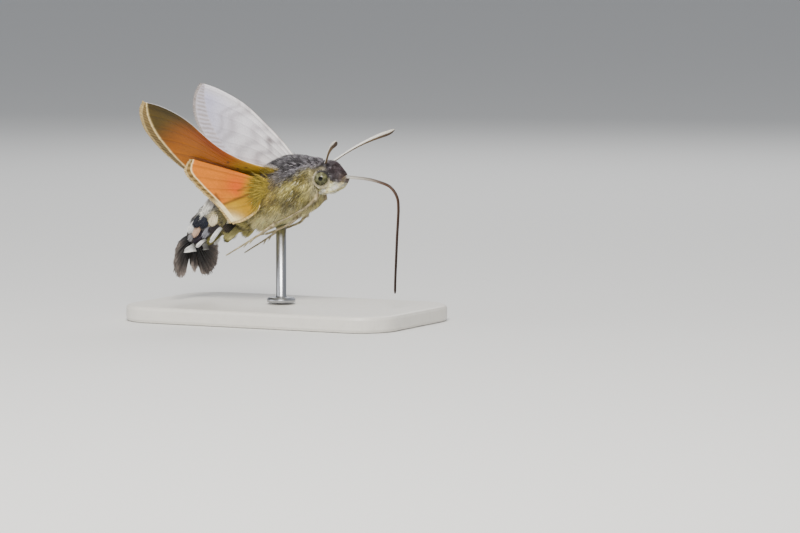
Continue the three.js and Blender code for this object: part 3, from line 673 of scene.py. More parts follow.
def make_side_tufts():
    for word, side in SIDES.items():
        r = np.random.default_rng(500 + side)
        parts = []
        for root, tip, root_spread, tip_spread, number, rgb in SIDE_TUFTS:
            root, tip = np.array(root) * [1, -side, 1], np.array(tip) * [1, -side, 1]
            along = unit(tip - root)
            out = unit(np.array([0.0, side * 1.0, 0.0]) - along * along[1] * side)
            over = np.cross(along, out)
            a, b = r.uniform(-1, 1, (number, 1)), r.normal(0, 0.5, (number, 1))
            reach = r.uniform(0.7, 1.02, (number, 1)) - 0.16 * a * a
            start = root + over * a * root_spread + out * (b * 0.16 - 0.35)
            end = root + (tip - root) * reach + over * a * tip_spread + out * (b * 0.18)
            bow = out * r.uniform(0.1, 0.26, (number, 1))
            tint = np.clip(colour(*rgb) * r.normal(1, 0.08, (number, 1)), 0, 1)
            patch = np.hstack([0.5 + a * 0.05 + len(parts) * 0.02, 0.5 + b * 0.1])
            width = r.uniform(0.075, 0.13, number)
            # the roots are darkened to 0.75 of the tint as painted shade among the hairs
            parts.append(strands(start, end, width, tint * 0.75, tint, patch, over, bow))
        join(f"tufts_{word}", parts, FAN, "abdomen_coat")


FAN_ROOT = np.array([-17.9, 0.0, -0.75])
FAN_LENGTH = 7.2
FAN_LOBES = {  # degrees down, edges in degrees to the left, share of the length, divisor of the vanes, seed
    "left": (66, 14, 84, 1.0, 1, 71),
    "right": (54, -84, -14, 1.0, 1, 72),
    "middle": (62, -11, 11, 0.74, 3, 73),
}
# vanes of each tier, their share of the length, and how pale their edge is
FAN_TIERS = ((260, 1.0, 1.0), (200, 0.86, 0.3), (150, 0.66, 0.1))


def make_fan():
    for word, (down, low, high, reach, fewer, seed) in FAN_LOBES.items():
        r = np.random.default_rng(seed)
        down = math.radians(down)
        axis = np.array([-math.cos(down), 0, -math.sin(down)])
        upper = np.array([-math.sin(down), 0, math.cos(down)])
        parts = []
        for tier, (vanes, share, paleness) in enumerate(FAN_TIERS):
            number = vanes // fewer
            s = r.uniform(0, 1, number)
            angle = np.radians(low + (high - low) * s)[:, None]
            edge_bow = np.sin(np.clip(s, 0.02, 0.98) * math.pi) ** 0.7
            length = FAN_LENGTH * reach * share * (0.78 + 0.22 * edge_bow) * r.uniform(0.93, 1.0, number)
            length = length[:, None]
            way = axis[None] * np.cos(angle) + np.array([[0, 1, 0]]) * np.sin(angle)
            start = FAN_ROOT + way * 0.5 + upper * (0.1 + 0.22 * tier) + r.normal(0, 0.12, (number, 3))
            cup = -0.105 * length
            end = FAN_ROOT + way * length + upper * (cup + 0.28 * tier) + r.normal(0, 0.1, (number, 3))
            dark = colour(20, 17, 20) * r.uniform(0.6, 1.5, (number, 1))
            edge = colour(170, 156, 148) * r.uniform(0.7, 1.15, (number, 1)) * paleness
            patch = np.stack([0.1 + 0.8 * s, np.full(number, 0.2 + 0.25 * tier)], 1)
            width = r.uniform(0.2, 0.32, number)
            across, bow = np.cross(way, upper), upper * 0.12
            made = strands(start, end, width, dark, edge, patch, across, bow, cuts=6, taper=0.45, sharp=6)
            parts.append(made)
        join(f"fan_{word}", parts, FAN, "tail_fan", [f"tail_fan_{word}"])


# wings
FOREWING = {
    "leading": [[0, -0.2], [5, -0.3], [10, -0.45], [15, -0.75], [19.5, 0.0], [22.4, 1.0]],
    "margin": [[22.4, 1.0], [22.3, 3.4], [20.6, 6.2], [17.2, 8.3], [13.4, 9.3]],
    "trailing": [[0, 3.1], [3.2, 4.1], [6.6, 5.6], [10.2, 7.9], [13.4, 9.3]],
    "length": 23, "chord": 9.3, "crease": 0.86, "at": (0.975, 0.84), "camber": 0.45,
    "veins": (0.07, 0.22, 0.38, 0.54, 0.7, 0.86), "size": (110, 84),
}
HINDWING = {
    "leading": [[0, -1.1], [4, -0.85], [8.4, -0.4], [12.6, 0.1]],
    "margin": [[12.6, 0.1], [12.9, 2.1], [10.4, 3.4], [7.9, 4.3], [5.6, 5.1], [3.1, 6.45]],
    "trailing": [[0, 1.6], [0.1, 2.9], [0.8, 4.3], [1.9, 5.6], [3.1, 6.45]],
    "length": 13, "chord": 6.5, "crease": 0.84, "at": (0.97, 0.86), "camber": 0.3,
    "veins": (0.1, 0.28, 0.46, 0.64, 0.82), "size": (80, 64),
}
WING_POSE = {  # root, span and chord directions, bend, wave, twist, fold; written for the left
    ("fore", "left"): (
        (1.62, 2.77, 2.04), (-0.509, 0.125, 0.852), (-0.8, 0.297, -0.522), 1.37, -0.24, -0.12, 0.4,
    ),
    ("hind", "left"): ((-1.9, 3.4, 0.9), (-0.8, 0.2, 0.56), (-0.56, 0.05, -0.82), 0.3, 0, 0, 0.35),
    ("fore", "right"): (
        (0.72, 2.79, 2.68), (-0.587, 0.262, 0.766), (-0.651, -0.715, -0.254), 1.44, -0.59, -4.0, 0.25,
    ),
    ("hind", "right"): ((-1.9, 3.65, 0.9), (-0.735, 0.06, 0.675), (-0.65, 0.18, -0.74), 0.3, 0, 0, 0.35),
}


def wing_surface(plan, pose):
    """The wing's flat plan and its bent surface, both of shares along the span and across the chord."""
    root, span, chord, bend, wave, twist, fold = pose
    span = unit(np.array(span, float))
    chord = np.array(chord, float)
    chord = unit(chord - span * (chord @ span))
    upper = np.cross(span, chord)
    inner_front, outer_front = np.array(plan["leading"], float)[[0, -1]]
    inner_rear, outer_rear = np.array(plan["trailing"], float)[[0, -1]]
    crease = plan["crease"]

    def share(u, at):
        return np.where(u < crease, u / crease * at, at + (1 - at) * (u - crease) / (1 - crease))

    def flat(u, v):
        front = spline(plan["leading"], share(u, plan["at"][0]))
        rear = spline(plan["trailing"], share(u, plan["at"][1]))
        inner, far = mix(inner_front, inner_rear, v), mix(outer_front, outer_rear, v)
        reach = u * u
        return mix(front, rear, v) + mix(inner, spline(plan["margin"], v), reach) - mix(inner, far, reach)

    def surface(u, v):
        at = flat(u, v)
        s, d = np.clip(at[..., 0] / plan["length"], 0, 1), at[..., 1] / plan["chord"]
        bow = np.sin(math.pi * s)
        lift = -bend * bow + wave * np.sin(2 * math.pi * s) + twist * s * d
        lift = lift + plan["camber"] * np.sin(math.pi * np.clip(d, 0, 1)) * bow
        past = np.linalg.norm(at - flat(np.full_like(u, crease), v), axis=-1)
        lift = lift + np.where(u > crease, fold * past, 0)
        return np.array(root) + at[..., :1] * span + at[..., 1:] * chord + lift[..., None] * upper

    return flat, surface


def near_curve(at, points, width):
    """Weight of a soft line of this width along a curve drawn on the wing."""
    curve = spline(points, np.linspace(0, 1, 40))
    away = np.linalg.norm(at[:, None] - curve[None], axis=2).min(1)
    return np.exp(-((away / width) ** 2))


# Each wing paint gives its outer band, its plain part, the colour of the painted highlight along the crease,
# which is also the real cream colour of the rim line, and how strong that highlight is.
def fore_under(at, u, v, mottle):
    s = at[:, 0] / FOREWING["length"]
    marks = []
    for cs, cv, length in ((7.2, 1.9, 0.5), (5.6, 2.5, 0.3), (4.5, 1.3, 0.22)):
        line = [[cs, cv - length / 2], [cs + 0.15, cv + length / 2]]
        marks.append(((50, 26, 6), near_curve(at, line, 0.17) * 0.85))
    tint = painted(
        between((176, 134, 12), (156, 84, 4), step(0.1, 0.36, s)),
        ((138, 56, 0), blob(s, v, 0.45, 0.1, 0.2, 0.24) * 0.9),
        ((166, 96, 8), blob(s, v, 0.58, 0.75, 0.18, 0.4) * 0.8),
        ((84, 66, 18), step(0.6, 0.88, s + 0.25 * (0.4 - v))),
        ((46, 38, 12), blob(s, v, 0.8, 0.0, 0.3, 0.12) * 0.8),
        ((150, 122, 26), blob(s, v, 0.18, 0.45, 0.09, 0.4) * 0.7),
        ((118, 92, 14), near_curve(at, [[0.4, 1.2], [3, 1.4], [6, 1.8]], 0.22) * 0.5),
        *marks,
    )
    stripe = 0.5 + 0.5 * np.sin(v * 150 + 7 * u + mottle)
    band = between((88, 70, 28), (166, 138, 86), stripe * 0.55 + 0.25 * step(0.7, 0.1, v))
    return band, tint * (1 + 0.1 * mottle)[:, None], colour(255, 226, 160), 0.9


def fore_upper(at, u, v, mottle):
    # The near-white and lilac-grey colouring of this face is painted light: it stands for its grey-brown
    # scales in strong light. The wavy cross lines and dark spots are its own markings.
    s = at[:, 0] / FOREWING["length"]
    wavy = s + 0.03 * np.sin(v * 14) - 0.08 * v + 0.01 * mottle
    lines = []
    for place, wide, dark in ((0.3, 0.035, 0.5), (0.44, 0.04, 0.36), (0.62, 0.035, 0.42), (0.7, 0.02, 0.34)):
        lines.append(((140, 128, 136), np.exp(-(((wavy - place) / wide) ** 2)) * dark))
    tint = painted(
        between((255, 250, 248), (244, 240, 246), step(0.1, 0.6, s)),
        ((186, 184, 218), step(0.6, 1.0, s + 0.1 * v) * 0.8),
        ((255, 250, 246), step(0.22, 0.0, v) * 0.6),
        *lines,
        ((104, 92, 92), blob(s, v, 0.36, 0.3, 0.03, 0.09) * 0.7),
        ((120, 104, 116), blob(s, v, 0.2, 0.7, 0.06, 0.25) * 0.5),
    )
    band = between((206, 202, 216), (170, 160, 160), 0.5 + 0.5 * np.sin(v * 130 + mottle))
    return band, tint * (1 + 0.05 * mottle)[:, None], colour(214, 208, 216), 0.3


def hind_under(at, u, v, mottle):
    s, c = at[:, 0], at[:, 1]
    below = (s - 0.3) * -0.683 + (c + 0.1) * 0.73
    yellow = np.maximum(step(-0.5, 0.25, below), step(4.0, 2.4, s))
    tint = painted(
        between((196, 102, 0), (200, 110, 6), step(4, 9, s)),
        ((200, 74, 0), blob(s, c, 4.4, 1.3, 1.5, 1.2) * 0.75),
        ((204, 122, 6), blob(s, c, 4.6, 3.3, 1.4, 0.7) * 0.6),
        ((166, 122, 0), yellow),
        ((192, 150, 12), blob(s, c, 3.4, 3.9, 1.2, 0.8) * 0.5 * yellow),
        # the next two dark lines are painted shade along folds of the membrane
        ((120, 76, 10), near_curve(at, [[3.9, 1.8], [2.4, 0.4], [1.2, 0.0]], 0.16) * 0.85),
        ((88, 50, 4), near_curve(at, [[5.2, 4.4], [3.5, 2.9], [2.0, 1.5], [0.3, -0.1]], 0.2) * 0.85),
        ((170, 128, 20), near_curve(at, [[4.0, 4.9], [2.0, 3.1], [0.6, 1.2]], 0.16) * 0.6),
        ((84, 52, 20), near_curve(at, [[7.0, 3.6], [6.0, 4.3], [5.4, 5.2]], 0.22) * 0.75),
        ((244, 226, 172), blob(s, c, 2.6, 6.2, 2.2, 1.0) * 0.9),
    )
    band = between((96, 72, 28), (160, 128, 70), 0.5 + 0.5 * np.sin(v * 90 + mottle))
    band = painted(band, ((244, 226, 176), step(0.6, 0.8, v)))
    return band, tint * (1 + 0.09 * mottle)[:, None], colour(255, 230, 170), 0.95


def hind_upper(at, u, v, mottle):
    tint = between((96, 70, 40), (208, 104, 6), step(1.6, 4.4, at[:, 0]))
    tint = painted(tint, ((140, 84, 24), step(0.7, 0.84, u) * 0.8))
    band = between((96, 64, 30), (120, 84, 44), step(0.2, 0.9, v))
    return band, tint * (1 + 0.08 * mottle)[:, None], colour(190, 150, 90), 0.2


# relief of a wing, in millimetres
MEMBRANE = 0.05
VEIN_WIDTH = 0.13
VEIN_HEIGHT = 0.11
FIRST_VEIN_HEIGHT = 0.15
GROOVE_WIDTH = 0.35
GROOVE_DEPTH = 0.04


def make_wing(pair, word, plan, under, upper):
    side = SIDES[word]
    flat, surface = wing_surface(plan, WING_POSE[(pair, word)])
    rows, cols = plan["size"]
    crease, veins = plan["crease"], plan["veins"]
    inner = int(rows * 0.84)
    u = np.linspace(0.02, crease, inner, endpoint=False)
    u = np.concatenate([u, np.linspace(crease, 1, rows - inner)])
    u, v = (grid.ravel() for grid in np.meshgrid(u, np.linspace(0, 1, cols), indexing="ij"))
    at, p = flat(u, v), surface(u, v)
    gap = 0.003
    outward, rearward = run_along(lambda x: surface(x, v), u, gap), run_along(lambda x: surface(u, x), v, gap)
    normal = unit(np.cross(outward, rearward))
    width = np.linalg.norm(surface(u, np.zeros_like(u)) - surface(u, np.ones_like(u)), axis=1)
    ridge, groove = np.zeros(len(u)), np.zeros(len(u))
    for k, vein in enumerate(veins):
        height = VEIN_HEIGHT if k else FIRST_VEIN_HEIGHT
        ridge += np.exp(-(((v - vein) * width / VEIN_WIDTH) ** 2)) * height
    for one, other in zip(veins, veins[1:]):
        groove += np.exp(-(((v - (one + other) / 2) * width / GROOVE_WIDTH) ** 2)) * GROOVE_DEPTH
    edge = np.minimum.reduce([step(0, 0.03, v), step(0, 0.03, 1 - v), step(0, 0.02, 1 - u)])
    half = MEMBRANE + MEMBRANE * edge
    drawn = np.column_stack([at, np.zeros(len(u))])
    mottle = noise(drawn * [1.1, 1.6, 1], 1.0, 5) * 0.6 + 0.5 * noise(drawn * [3, 5, 1], 1.0, 6)
    in_band = step(-0.005, 0.012, u - crease)
    # painted highlight: a bright line along the crease's ridge, where the outer band bends away
    line = np.exp(-(((u - crease) / 0.011) ** 2))
    rim = step(0.955, 0.995, u)
    sheets, tints = [], []
    for face, paint, relief, shadow in ((1, upper, 0.35, 0.06), (-1, under, 0.75, 0.22)):
        sheets.append(p + normal * (face * (half + ridge * edge * relief) - groove * 0.5)[:, None])
        band, plain, crease_highlight_and_rim_tint, strength = paint(at, u, v, mottle)
        tint = mix(plain, band, in_band) * (1 - shadow * ridge / 0.12)[:, None]
        # the crease line is a painted highlight; the rim line is the margin's own cream
        tints.append(mix(mix(tint, crease_highlight_and_rim_tint, line * strength), crease_highlight_and_rim_tint, rim * 0.5))
    verts = np.vstack(sheets) * [1, side, 1]
    n = rows * cols
    top = grid_faces(rows, cols)
    i, j = np.arange(rows - 1) * cols, np.arange(cols - 1)

    def strip(a, b):
        return np.vstack([np.stack([a, b, b + n], 1), np.stack([a, b + n, a + n], 1)])

    rims = [strip(i, i + cols), strip(i + 2 * cols - 1, i + cols - 1)]
    rims += [strip(j + 1, j), strip(n - cols + j, n - cols + j + 1)]
    faces = np.vstack([top, top[:, ::-1] + n, *rims])
    name = f"{pair}wing_{word}"
    faces = faces if side > 0 else faces[:, ::-1]
    add_mesh(f"{name}_scales", to_world(verts), faces, WING, f"{pair}wing", [name], np.vstack(tints))
    make_fringe(name, pair, surface, side)
    make_root_hair(name, pair, surface, side)


def make_fringe(name, pair, surface, side):
    """Short flat hairs out of the outer and trailing edges, lying in the wing's surface."""
    r = np.random.default_rng(900 + len(name) + side)
    outer, trailing = (900, 560) if pair == "fore" else (640, 460)
    v = r.uniform(0.02, 1, outer)
    u = r.uniform(0.15, 1, trailing)
    gap = 0.02
    tip, rear = np.ones(outer), np.ones(trailing)
    start = np.vstack([surface(tip, v), surface(u, rear)])
    along = unit(start - np.vstack([surface(tip - gap, v), surface(u, rear - gap)]))
    tip_run = run_along(lambda x: surface(tip, x), v, gap)
    rear_run = run_along(lambda x: surface(x, rear), u, gap)
    run = unit(np.vstack([tip_run, rear_run]))
    n = len(start)
    length = np.where(np.arange(n) < outer, 0.42, 0.36) * r.uniform(0.75, 1.2, n)
    end = start + unit(along + run * r.normal(0.0, 0.16, (n, 1))) * length[:, None]
    start = start - along * 0.12
    grey, buff = ((150, 138, 132), (214, 206, 204)), ((150, 122, 72), (240, 212, 150))
    tint = between(*(grey if name == "forewing_left" else buff), r.uniform(0, 1, n))
    patch = np.stack([np.linspace(0.02, 0.97, n), np.full(n, 0.5)], 1)
    flip = np.array([1, side, 1])
    width = r.uniform(0.07, 0.11, n)
    # the roots are darkened to 0.8 of the tint as painted shade at the wing's edge
    made = strands(start * flip, end * flip, width, tint * 0.8, tint, patch, run * flip, cuts=2, taper=0.4)
    join(f"{name}_fringe", [made], FRINGE, f"{pair}wing")


ROOT_HAIR = {  # upper and under face of each pair: normal's side, count, darkest and palest colour
    "fore": ((1, 700, (176, 166, 164), (248, 242, 238)), (-1, 1300, (120, 108, 36), (208, 178, 62))),
    "hind": ((1, 700, (110, 96, 66), (160, 130, 76)), (-1, 1300, (120, 108, 36), (208, 178, 62))),
}


def make_root_hair(name, pair, surface, side):
    """Hair of the thorax that lies over the wing's base on both faces, and hides the joint."""
    r = np.random.default_rng(700 + len(name) + side)
    flip = np.array([1, side, 1])
    parts = []
    for face, count, low, high in ROOT_HAIR[pair]:
        v = r.uniform(0.0, 1.0, count)
        u = np.full(count, 0.03)
        p = surface(u, v)
        away = unit(surface(u + 0.12, v) - p)
        run = unit(run_along(lambda x: surface(u, x), v, 0.02))
        normal = np.cross(away, run) * face
        length = r.uniform(0.35, 1.0, count) ** 1.3 * (2.4 if pair == "fore" else 2.7)
        start = p + away * r.uniform(-1.6, 0.5, (count, 1)) + normal * r.normal(0.08, 0.16, (count, 1))
        start = start + run * r.normal(0, 0.25, (count, 1))
        lean = away + run * r.normal(0.0, 0.2, (count, 1))
        end = start + unit(lean) * length[:, None] + normal * r.uniform(0.0, 0.22, (count, 1))
        tint = between(low, high, r.uniform(0, 1, count))
        patch = np.stack([0.02 + 0.9 * v, np.full(count, 0.1 + 0.1 * face)], 1)
        width = r.uniform(0.045, 0.08, count)
        across, bow = run * flip, normal * 0.12 * flip
        # the roots are darkened to 0.72 of the tint as painted shade among the hairs
        parts.append(strands(start * flip, end * flip, width, tint * 0.72, tint, patch, across, bow, cuts=2))
    join(f"{name}_root_hair", parts, FAN, f"{pair}wing")


# tubes: feelers, proboscis and legs
def tube(points, radius_of, rings, around, tint_of, level=(0.0, 0.0, 1.0)):
    """A closed tube along a smooth path. radius_of takes the share along, tint_of share and angle."""
    t = np.linspace(0, 1, rings)
    centre = spline(points, t)
    along = unit(np.gradient(centre, axis=0))
    across = unit(np.cross(along, np.array(level) + along * 0))
    upward = np.cross(across, along)
    angle = turns(around)
    ring = across[:, None] * np.cos(angle)[None, :, None] + upward[:, None] * np.sin(angle)[None, :, None]
    verts = (centre[:, None] + ring * radius_of(t)[:, None, None]).reshape(-1, 3)
    shares = np.concatenate([t.repeat(around), [0, 1]])
    angles = np.concatenate([np.tile(angle, rings), [0, 0]])
    return *closed_rings(verts, around), tint_of(shares, angles)


ANTENNA_ROOT = (7.45, 0.95, 1.15)
ANTENNA_LENGTH = 11
ANTENNA_WAY = {"left": (44, 8), "right": (50, 5)}  # degrees outwards and upwards
ANTENNA_SIZE = [[0, 0.2], [0.12, 0.17], [0.45, 0.21], [0.72, 0.33], [0.86, 0.38], [0.94, 0.3], [1, 0.05]]
ANTENNA_RINGS = 52


def make_antennae():
    def radius(t):
        return through(ANTENNA_SIZE, t)[..., 0] * (1 + 0.07 * np.sin(t * 2 * math.pi * ANTENNA_RINGS))

    def tint(t, a):
        pale = between((236, 234, 228), (206, 200, 188), step(0.5, 1, t))
        brown = between((96, 78, 56), (60, 44, 32), step(0.6, 1, t))
        return mix(brown, pale, step(-0.35, 0.15, np.sin(a) + 0.1 * np.sin(t * 330)))

    for word, side in SIDES.items():
        out, up = (math.radians(angle) for angle in ANTENNA_WAY[word])
        heading = np.array([math.cos(out) * math.cos(up), math.sin(out) * math.cos(up) * side, math.sin(up)])
        t = np.linspace(-0.05, 1, 12)
        points = np.array(ANTENNA_ROOT) * [1, side, 1] + heading * ANTENNA_LENGTH * t[:, None]
        points[:, 2] += 0.45 * np.sin(math.pi * np.clip(t, 0, 1))
        points[-1, 2] += 0.16
        made = tube(points, radius, 320, 18, tint)
        join(f"antenna_{word}_scales", [made], SCALES, "antenna", [f"antenna_{word}"])


PROBOSCIS = [
    [7.6, 0, -1.4], [8.4, 0, -1.55], [9.4, 0, -1.82], [11.1, 0, -2.65], [12.8, 0, -3.57], [14.25, 0, -4.6],
    [15.3, 0, -5.55], [15.8, 0, -6.6], [15.9, 0, -7.8], [15.5, 0, -9.1], [14.75, 0, -10.7], [13.6, 0, -13.0],
    [12.3, 0, -15.7], [11.1, 0, -18.2], [10.1, 0, -20.4],
]
PROBOSCIS_RINGS = 110


def make_proboscis():
    def tint(t, a):
        base = between((214, 210, 200), (86, 58, 40), step(0.12, 0.42, t))
        base = painted(base, ((48, 28, 20), step(0.45, 0.9, t)))
        # painted shade: the outer side of the proboscis's curve is darkened to 0.45
        return mix(base * 0.45, base, step(-0.6, 0.3, np.cos(a)))

    def radius(t):
        tip = np.sqrt(np.clip((1.002 - t) / 0.02, 0.02, 1))
        return (0.25 - 0.07 * t) * (1 + 0.03 * np.sin(t * 2 * math.pi * PROBOSCIS_RINGS)) * tip

    nodes = [f"proboscis_{part}" for part in ("base", "bend", "tip")]
    made = tube(PROBOSCIS, radius, 420, 14, tint, level=(0.0, -1.0, 0.0))
    join("proboscis_horn", [made], HORN, "proboscis", nodes)


LEG_SIZE = [[0, 0.26], [0.2, 0.26], [0.36, 0.19], [0.5, 0.17], [0.66, 0.13], [0.8, 0.11], [1, 0.05]]
LEG_HAIRS = 600
SPUR_LENGTH = 1.25


LEGS = {
    "fore": ([[4.2, 1.5, -3.15], [2.1, 2.1, -3.85], [-0.9, 2.3, -4.15], [-3.3, 2.2, -4.1]], 0),
    "mid": ([[0.6, 1.2, -4.35], [-1.2, 1.55, -5.0], [-4.0, 1.2, -5.0], [-6.6, 0.9, -4.7]], 1),
    "hind": ([[-3.6, 2.1, -4.25], [-5.4, 2.5, -4.65], [-8.2, 2.8, -5.1], [-12.1, 2.9, -5.6]], 2),
}


def leg_radius(t):
    return through(LEG_SIZE, t)[..., 0] * (1 + 0.05 * np.sin(t * 150))


def leg_tint(t, a):
    pale = between((196, 182, 146), (150, 134, 98), 0.5 + 0.5 * np.sin(t * 37))
    # painted shade: the lower side of each leg and spur is darkened to 0.6
    return mix(pale * 0.6, pale, step(-0.5, 0.6, np.sin(a)))


def leg_hair(path, r):
    t = r.uniform(0.02, 0.98, LEG_HAIRS)
    along = unit(run_along(lambda share: spline(path, share), t, 0.01))
    spin = unit(np.cross(along, r.normal(size=(LEG_HAIRS, 3))))
    root = spline(path, t) + spin * (leg_radius(t) * 0.8)[:, None]
    tip = root + along * r.uniform(0.25, 0.5, (LEG_HAIRS, 1)) + spin * 0.04
    tint = between((134, 120, 86), (214, 202, 166), r.uniform(0, 1, LEG_HAIRS))
    patch = np.stack([r.uniform(0.02, 0.95, LEG_HAIRS), t * 0.95], 1)
    width, across = np.full(LEG_HAIRS, 0.07), np.cross(along, spin)
    # the roots are darkened to 0.7 of the tint as painted shade next to the leg
    return strands(root, tip, width, tint * 0.7, tint, patch, across, cuts=2)


def make_legs():
    for word, side in SIDES.items():
        for pair, (joints, spurs) in LEGS.items():
            r = np.random.default_rng(40 + spurs + (side > 0) * 10)
            joints = np.array(joints) * [1, side, 1]
            path = [joints[0] + [0.4, -0.5 * side, 0.9], joints[0]]
            for k in range(1, 4):
                for w in (0.12, 0.5, 0.88):
                    path.append(joints[k - 1] * (1 - w) + joints[k] * w)
            path.append(joints[3])
            parts = [tube(path, leg_radius, 120, 12, leg_tint)]
            for k in range(spurs * 2):
                at = joints[2] + (joints[1] - joints[2]) * (0.05 + 0.38 * (k // 2))
                toward = unit(np.array([-1.0, (0.5 if k % 2 else 0.15) * side, -0.55]))
                line = at + toward * np.linspace(0, SPUR_LENGTH, 5)[:, None]
                parts.append(tube(line, lambda t: 0.09 * (1.03 - t) + 0.01, 14, 8, leg_tint))
            name = f"leg_{pair}_{word}"
            join(f"{name}_scales", parts, SCALES, "leg", [name])
            join(f"{name}_hair", [leg_hair(path, r)], SCALES, "leg")


def make_eye_ring(side, word):
    """Short pale scales that close round the rim of the eye, greyer above and in front."""
    r = np.random.default_rng(600 + side)
    outward = unit(np.array([0.3, 1.0, 0.0]))
    up = np.array([0.0, 0.0, 1.0])
    across = np.cross(outward, up)
    count = 900
    angle = r.uniform(0, 2 * math.pi, count)
    rim = across * np.cos(angle)[:, None] + up * np.sin(angle)[:, None]
    start = EYE_AT + rim * r.uniform(1.14, 1.5, (count, 1)) - outward * 0.1
    end = EYE_AT + rim * r.uniform(0.96, 1.1, (count, 1)) + outward * r.uniform(0.5, 0.72, (count, 1))
    front = np.clip(rim[:, 0] * 0.8 + rim[:, 2] * 0.75, 0, 1)
    pale = between((222, 208, 160), (250, 242, 214), r.uniform(0, 1, count))
    tint = painted(pale, ((84, 76, 74), step(0.3, 0.7, front)))
    patch = np.stack([angle / 6.4, np.full(count, 0.3)], 1)
    flip = np.array([1, side, 1])
    width = r.uniform(0.06, 0.1, count)
    spin, bow = np.cross(rim, outward) * flip, rim * 0.08 * flip
    # the roots are darkened to 0.7 of the tint as painted shade among the scales
    ring = strands(start * flip, end * flip, width, tint * 0.7, tint, patch, spin, bow, cuts=3)
    join(f"eye_ring_{word}", [ring], FAN, "head_coat")


def make_eyes():
    rows, cols = 96, 160
    pole = 0.001
    theta, phi = np.meshgrid(np.linspace(pole, math.pi - pole, rows), turns(cols), indexing="ij")
    ball = np.stack([np.sin(theta) * np.cos(phi), np.cos(theta), np.sin(theta) * np.sin(phi)], -1)
    ball = ball.reshape(-1, 3)
    around = np.radians([15, 70, 125, 195, 250, 305])
    spots = [(0, 0, 0.4, 1.0)] + [(0.66 * math.cos(a), 0.66 * math.sin(a), 0.3, 0.5) for a in around]
    for word, side in SIDES.items():
        make_eye_ring(side, word)
        d = ball * [1, side, 1]
        # painted light: the eye is paler on its upper half
        base = between((92, 92, 58), (150, 148, 112), step(-0.5, 0.8, d[:, 2] + 0.2 * noise(d, 5, 3))) * 0.75
        outward = unit(np.array([0.3, 1.0 * side, 0.0]))
        lean = np.array([0.35, 0, 0.94])
        up = unit(lean - outward * (lean @ outward))
        x, y, facing = d @ np.cross(outward, up), d @ up, d @ outward
        for sx, sy, size, dark in spots:
            spot = step(size, size * 0.55, np.hypot(x - sx, y - sy)) * (facing > 0)
            base = painted(base, ((14, 13, 10), spot * dark))
        # painted shade round the eye's rim, where it turns away to meet the head
        base = painted(base, ((44, 40, 28), step(0.55, 0.2, facing) * 0.8))
        verts = EYE_AT * [1, side, 1] + d * EYE_RADIUS * 0.985
        faces = grid_faces(rows, cols, wrap=True)
        faces = faces if side < 0 else faces[:, ::-1]
        join(f"eye_{word}_ball", [(verts, faces, base)], EYE, "eye", [f"eye_{word}"])


# stand
def satin(name, dark, pale, scale, bump, distance, rough, metal=0.0, stretch=None):
    """A smooth material that varies a little between two tones, with a fine bump."""
    made, tree, shader = material(name)
    height = noise_texture(tree, scale, 3.0, stretch)
    tree.links.new(mixed(tree, "MIX", height, colour(*dark), colour(*pale)), shader.inputs["Base Color"])
    raise_bump(tree, shader, height, bump, distance)
    put(shader, Metallic=metal, Roughness=rough)
    return made


PLASTIC = satin("satin_plastic", (214, 210, 202), (228, 225, 218), 900.0, 0.12, 0.00003, 0.42)
STEEL = satin("satin_steel", (158, 160, 164), (206, 208, 212), 9000.0, 0.1, 0.00002, 0.32, 1.0, (1, 1, 0.05))
BASE = {"length": 44.0, "width": 27.0, "height": 2.4, "corner": 6.0, "bevel": 0.5}
ROD_X = -0.9
ROD_RADIUS = 0.75
FOOT_RADIUS = 2.1


def make_base():
    corner, bevel, height = BASE["corner"], BASE["bevel"], BASE["height"]
    half_length, half_width = BASE["length"] / 2 - corner, BASE["width"] / 2 - corner
    slope = [(0.0, bevel), (bevel * 0.3, bevel * 0.3), (bevel, 0.0)]
    verts = []
    for z, inset in slope + [(height - up, inset) for up, inset in slope[::-1]]:
        r = corner - inset
        for k, (sx, sy) in enumerate(((1, 1), (-1, 1), (-1, -1), (1, -1))):
            for a in np.linspace(0, math.pi / 2, 16) + k * math.pi / 2:
                verts.append([sx * half_length + r * math.cos(a), sy * half_width + r * math.sin(a), z])
    verts, faces = closed_rings(np.array(verts) * MM, 4 * 16)
    add_mesh("stand_base_plate", verts, faces, PLASTIC, "stand_base", ["stand_base"], smooth=False)


def make_rod():
    low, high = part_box("stand_rod")
    foot, top = low.z / MM, high.z / MM + 1.0
    profile = [(0.02, 0), (FOOT_RADIUS, 0), (FOOT_RADIUS, 0.45), (1.85, 0.7), (0.9, 0.72), (ROD_RADIUS, 0.9)]
    profile = [(r, foot + z) for r, z in profile] + [(ROD_RADIUS, top), (0.02, top)]
    angle = turns(64)
    rings = [np.stack([ROD_X + r * np.cos(angle), r * np.sin(angle), np.full(64, z)], 1) for r, z in profile]
    verts, faces = closed_rings(np.vstack(rings) * MM, 64)
    rod = add_mesh("stand_rod_steel", verts, faces, STEEL, "stand_rod", ["stand_rod"], smooth=False)
    for face in rod.data.polygons:
        face.use_smooth = abs(face.normal.z) < 0.2


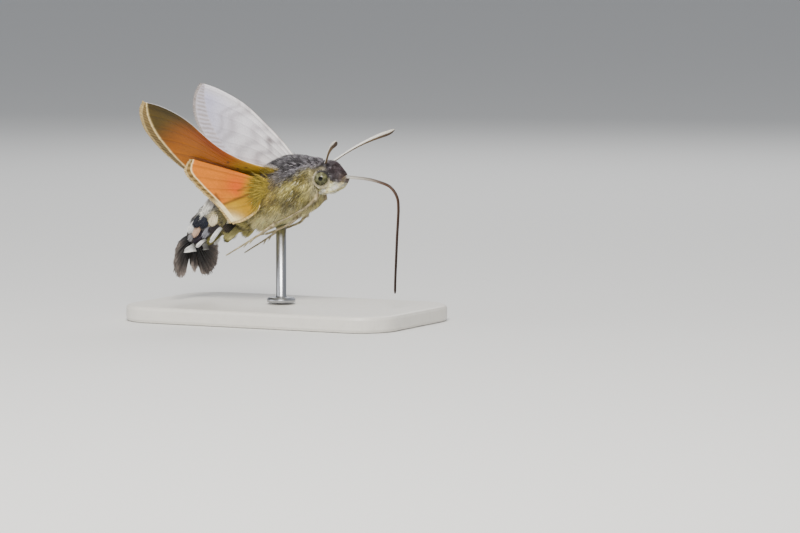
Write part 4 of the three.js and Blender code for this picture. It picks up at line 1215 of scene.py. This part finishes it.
# stage, light and camera
def make_stage():
    floor, _, shader = material("pale_floor")
    put(shader, **{"Base Color": (0.78, 0.78, 0.77, 1), "Roughness": 0.8})
    size = 2.0
    mesh = bpy.data.meshes.new("floor")
    corners = [(-size, -size, 0), (size, -size, 0), (size, size, 0), (-size, size, 0)]
    mesh.from_pydata(corners, [], [(0, 1, 2, 3)])
    mesh.materials.append(floor)
    linked("floor", mesh)

    world = bpy.data.worlds.new("studio")
    bpy.context.scene.world = world
    world.use_nodes = True
    put(world.node_tree.nodes["Background"], Color=(0.84, 0.87, 0.92, 1), Strength=0.42)

    def area(name, place, size, power, tone=(1, 1, 1)):
        light = bpy.data.lights.new(name, "AREA")
        light.size = size
        light.energy = power
        light.color = tone
        lamp = linked(name, light)
        lamp.location = place
        lamp.rotation_euler = (Vector((0, 0, 0.02)) - Vector(place)).to_track_quat("-Z", "Y").to_euler()

    area("key", (0.12, -0.28, 0.32), 0.14, 2.6, (1.0, 0.97, 0.91))
    area("fill", (-0.34, -0.2, 0.12), 0.3, 0.5)
    area("back", (-0.1, 0.34, 0.28), 0.25, 0.7)


AZIMUTH, ELEVATION = math.radians(26.5), math.radians(5.0)
PICTURE_WIDTH = 800
PIXELS_PER_MM = 6.8
# the thorax's place in the picture, in pixels from its middle
PIXELS_LEFT = 110
PIXELS_ABOVE = 78
LENS = 200.0
SENSOR = 36


def make_camera():
    """Looks from the animal's right front, a little above it, so that it sits where the photo has it."""
    a, e = AZIMUTH, ELEVATION
    right = np.array([math.cos(a), math.sin(a), 0])
    back = np.array([math.sin(a) * math.cos(e), -math.cos(a) * math.cos(e), math.sin(e)])
    up = np.cross(back, right)
    target = BODY_AT + right * (PIXELS_LEFT / PIXELS_PER_MM) - up * (PIXELS_ABOVE / PIXELS_PER_MM)
    distance = PICTURE_WIDTH / PIXELS_PER_MM * LENS / SENSOR
    camera = bpy.data.cameras.new("camera")
    camera.lens = LENS
    camera.sensor_width = SENSOR
    camera.clip_start, camera.clip_end = 0.01, 20
    eye = linked("camera", camera)
    eye.location = Vector((target + back * distance) * MM)
    eye.rotation_mode = "QUATERNION"
    eye.rotation_quaternion = Vector(-back).to_track_quat("-Z", "Y")
    bpy.context.scene.camera = eye


make_camera()
make_stage()
make_base()
make_rod()
make_skin()
make_coat()
make_side_tufts()
make_fan()
make_eyes()
make_antennae()
make_proboscis()
make_legs()
for word in SIDES:
    make_wing("fore", word, FOREWING, fore_under, fore_upper)
    make_wing("hind", word, HINDWING, hind_under, hind_upper)
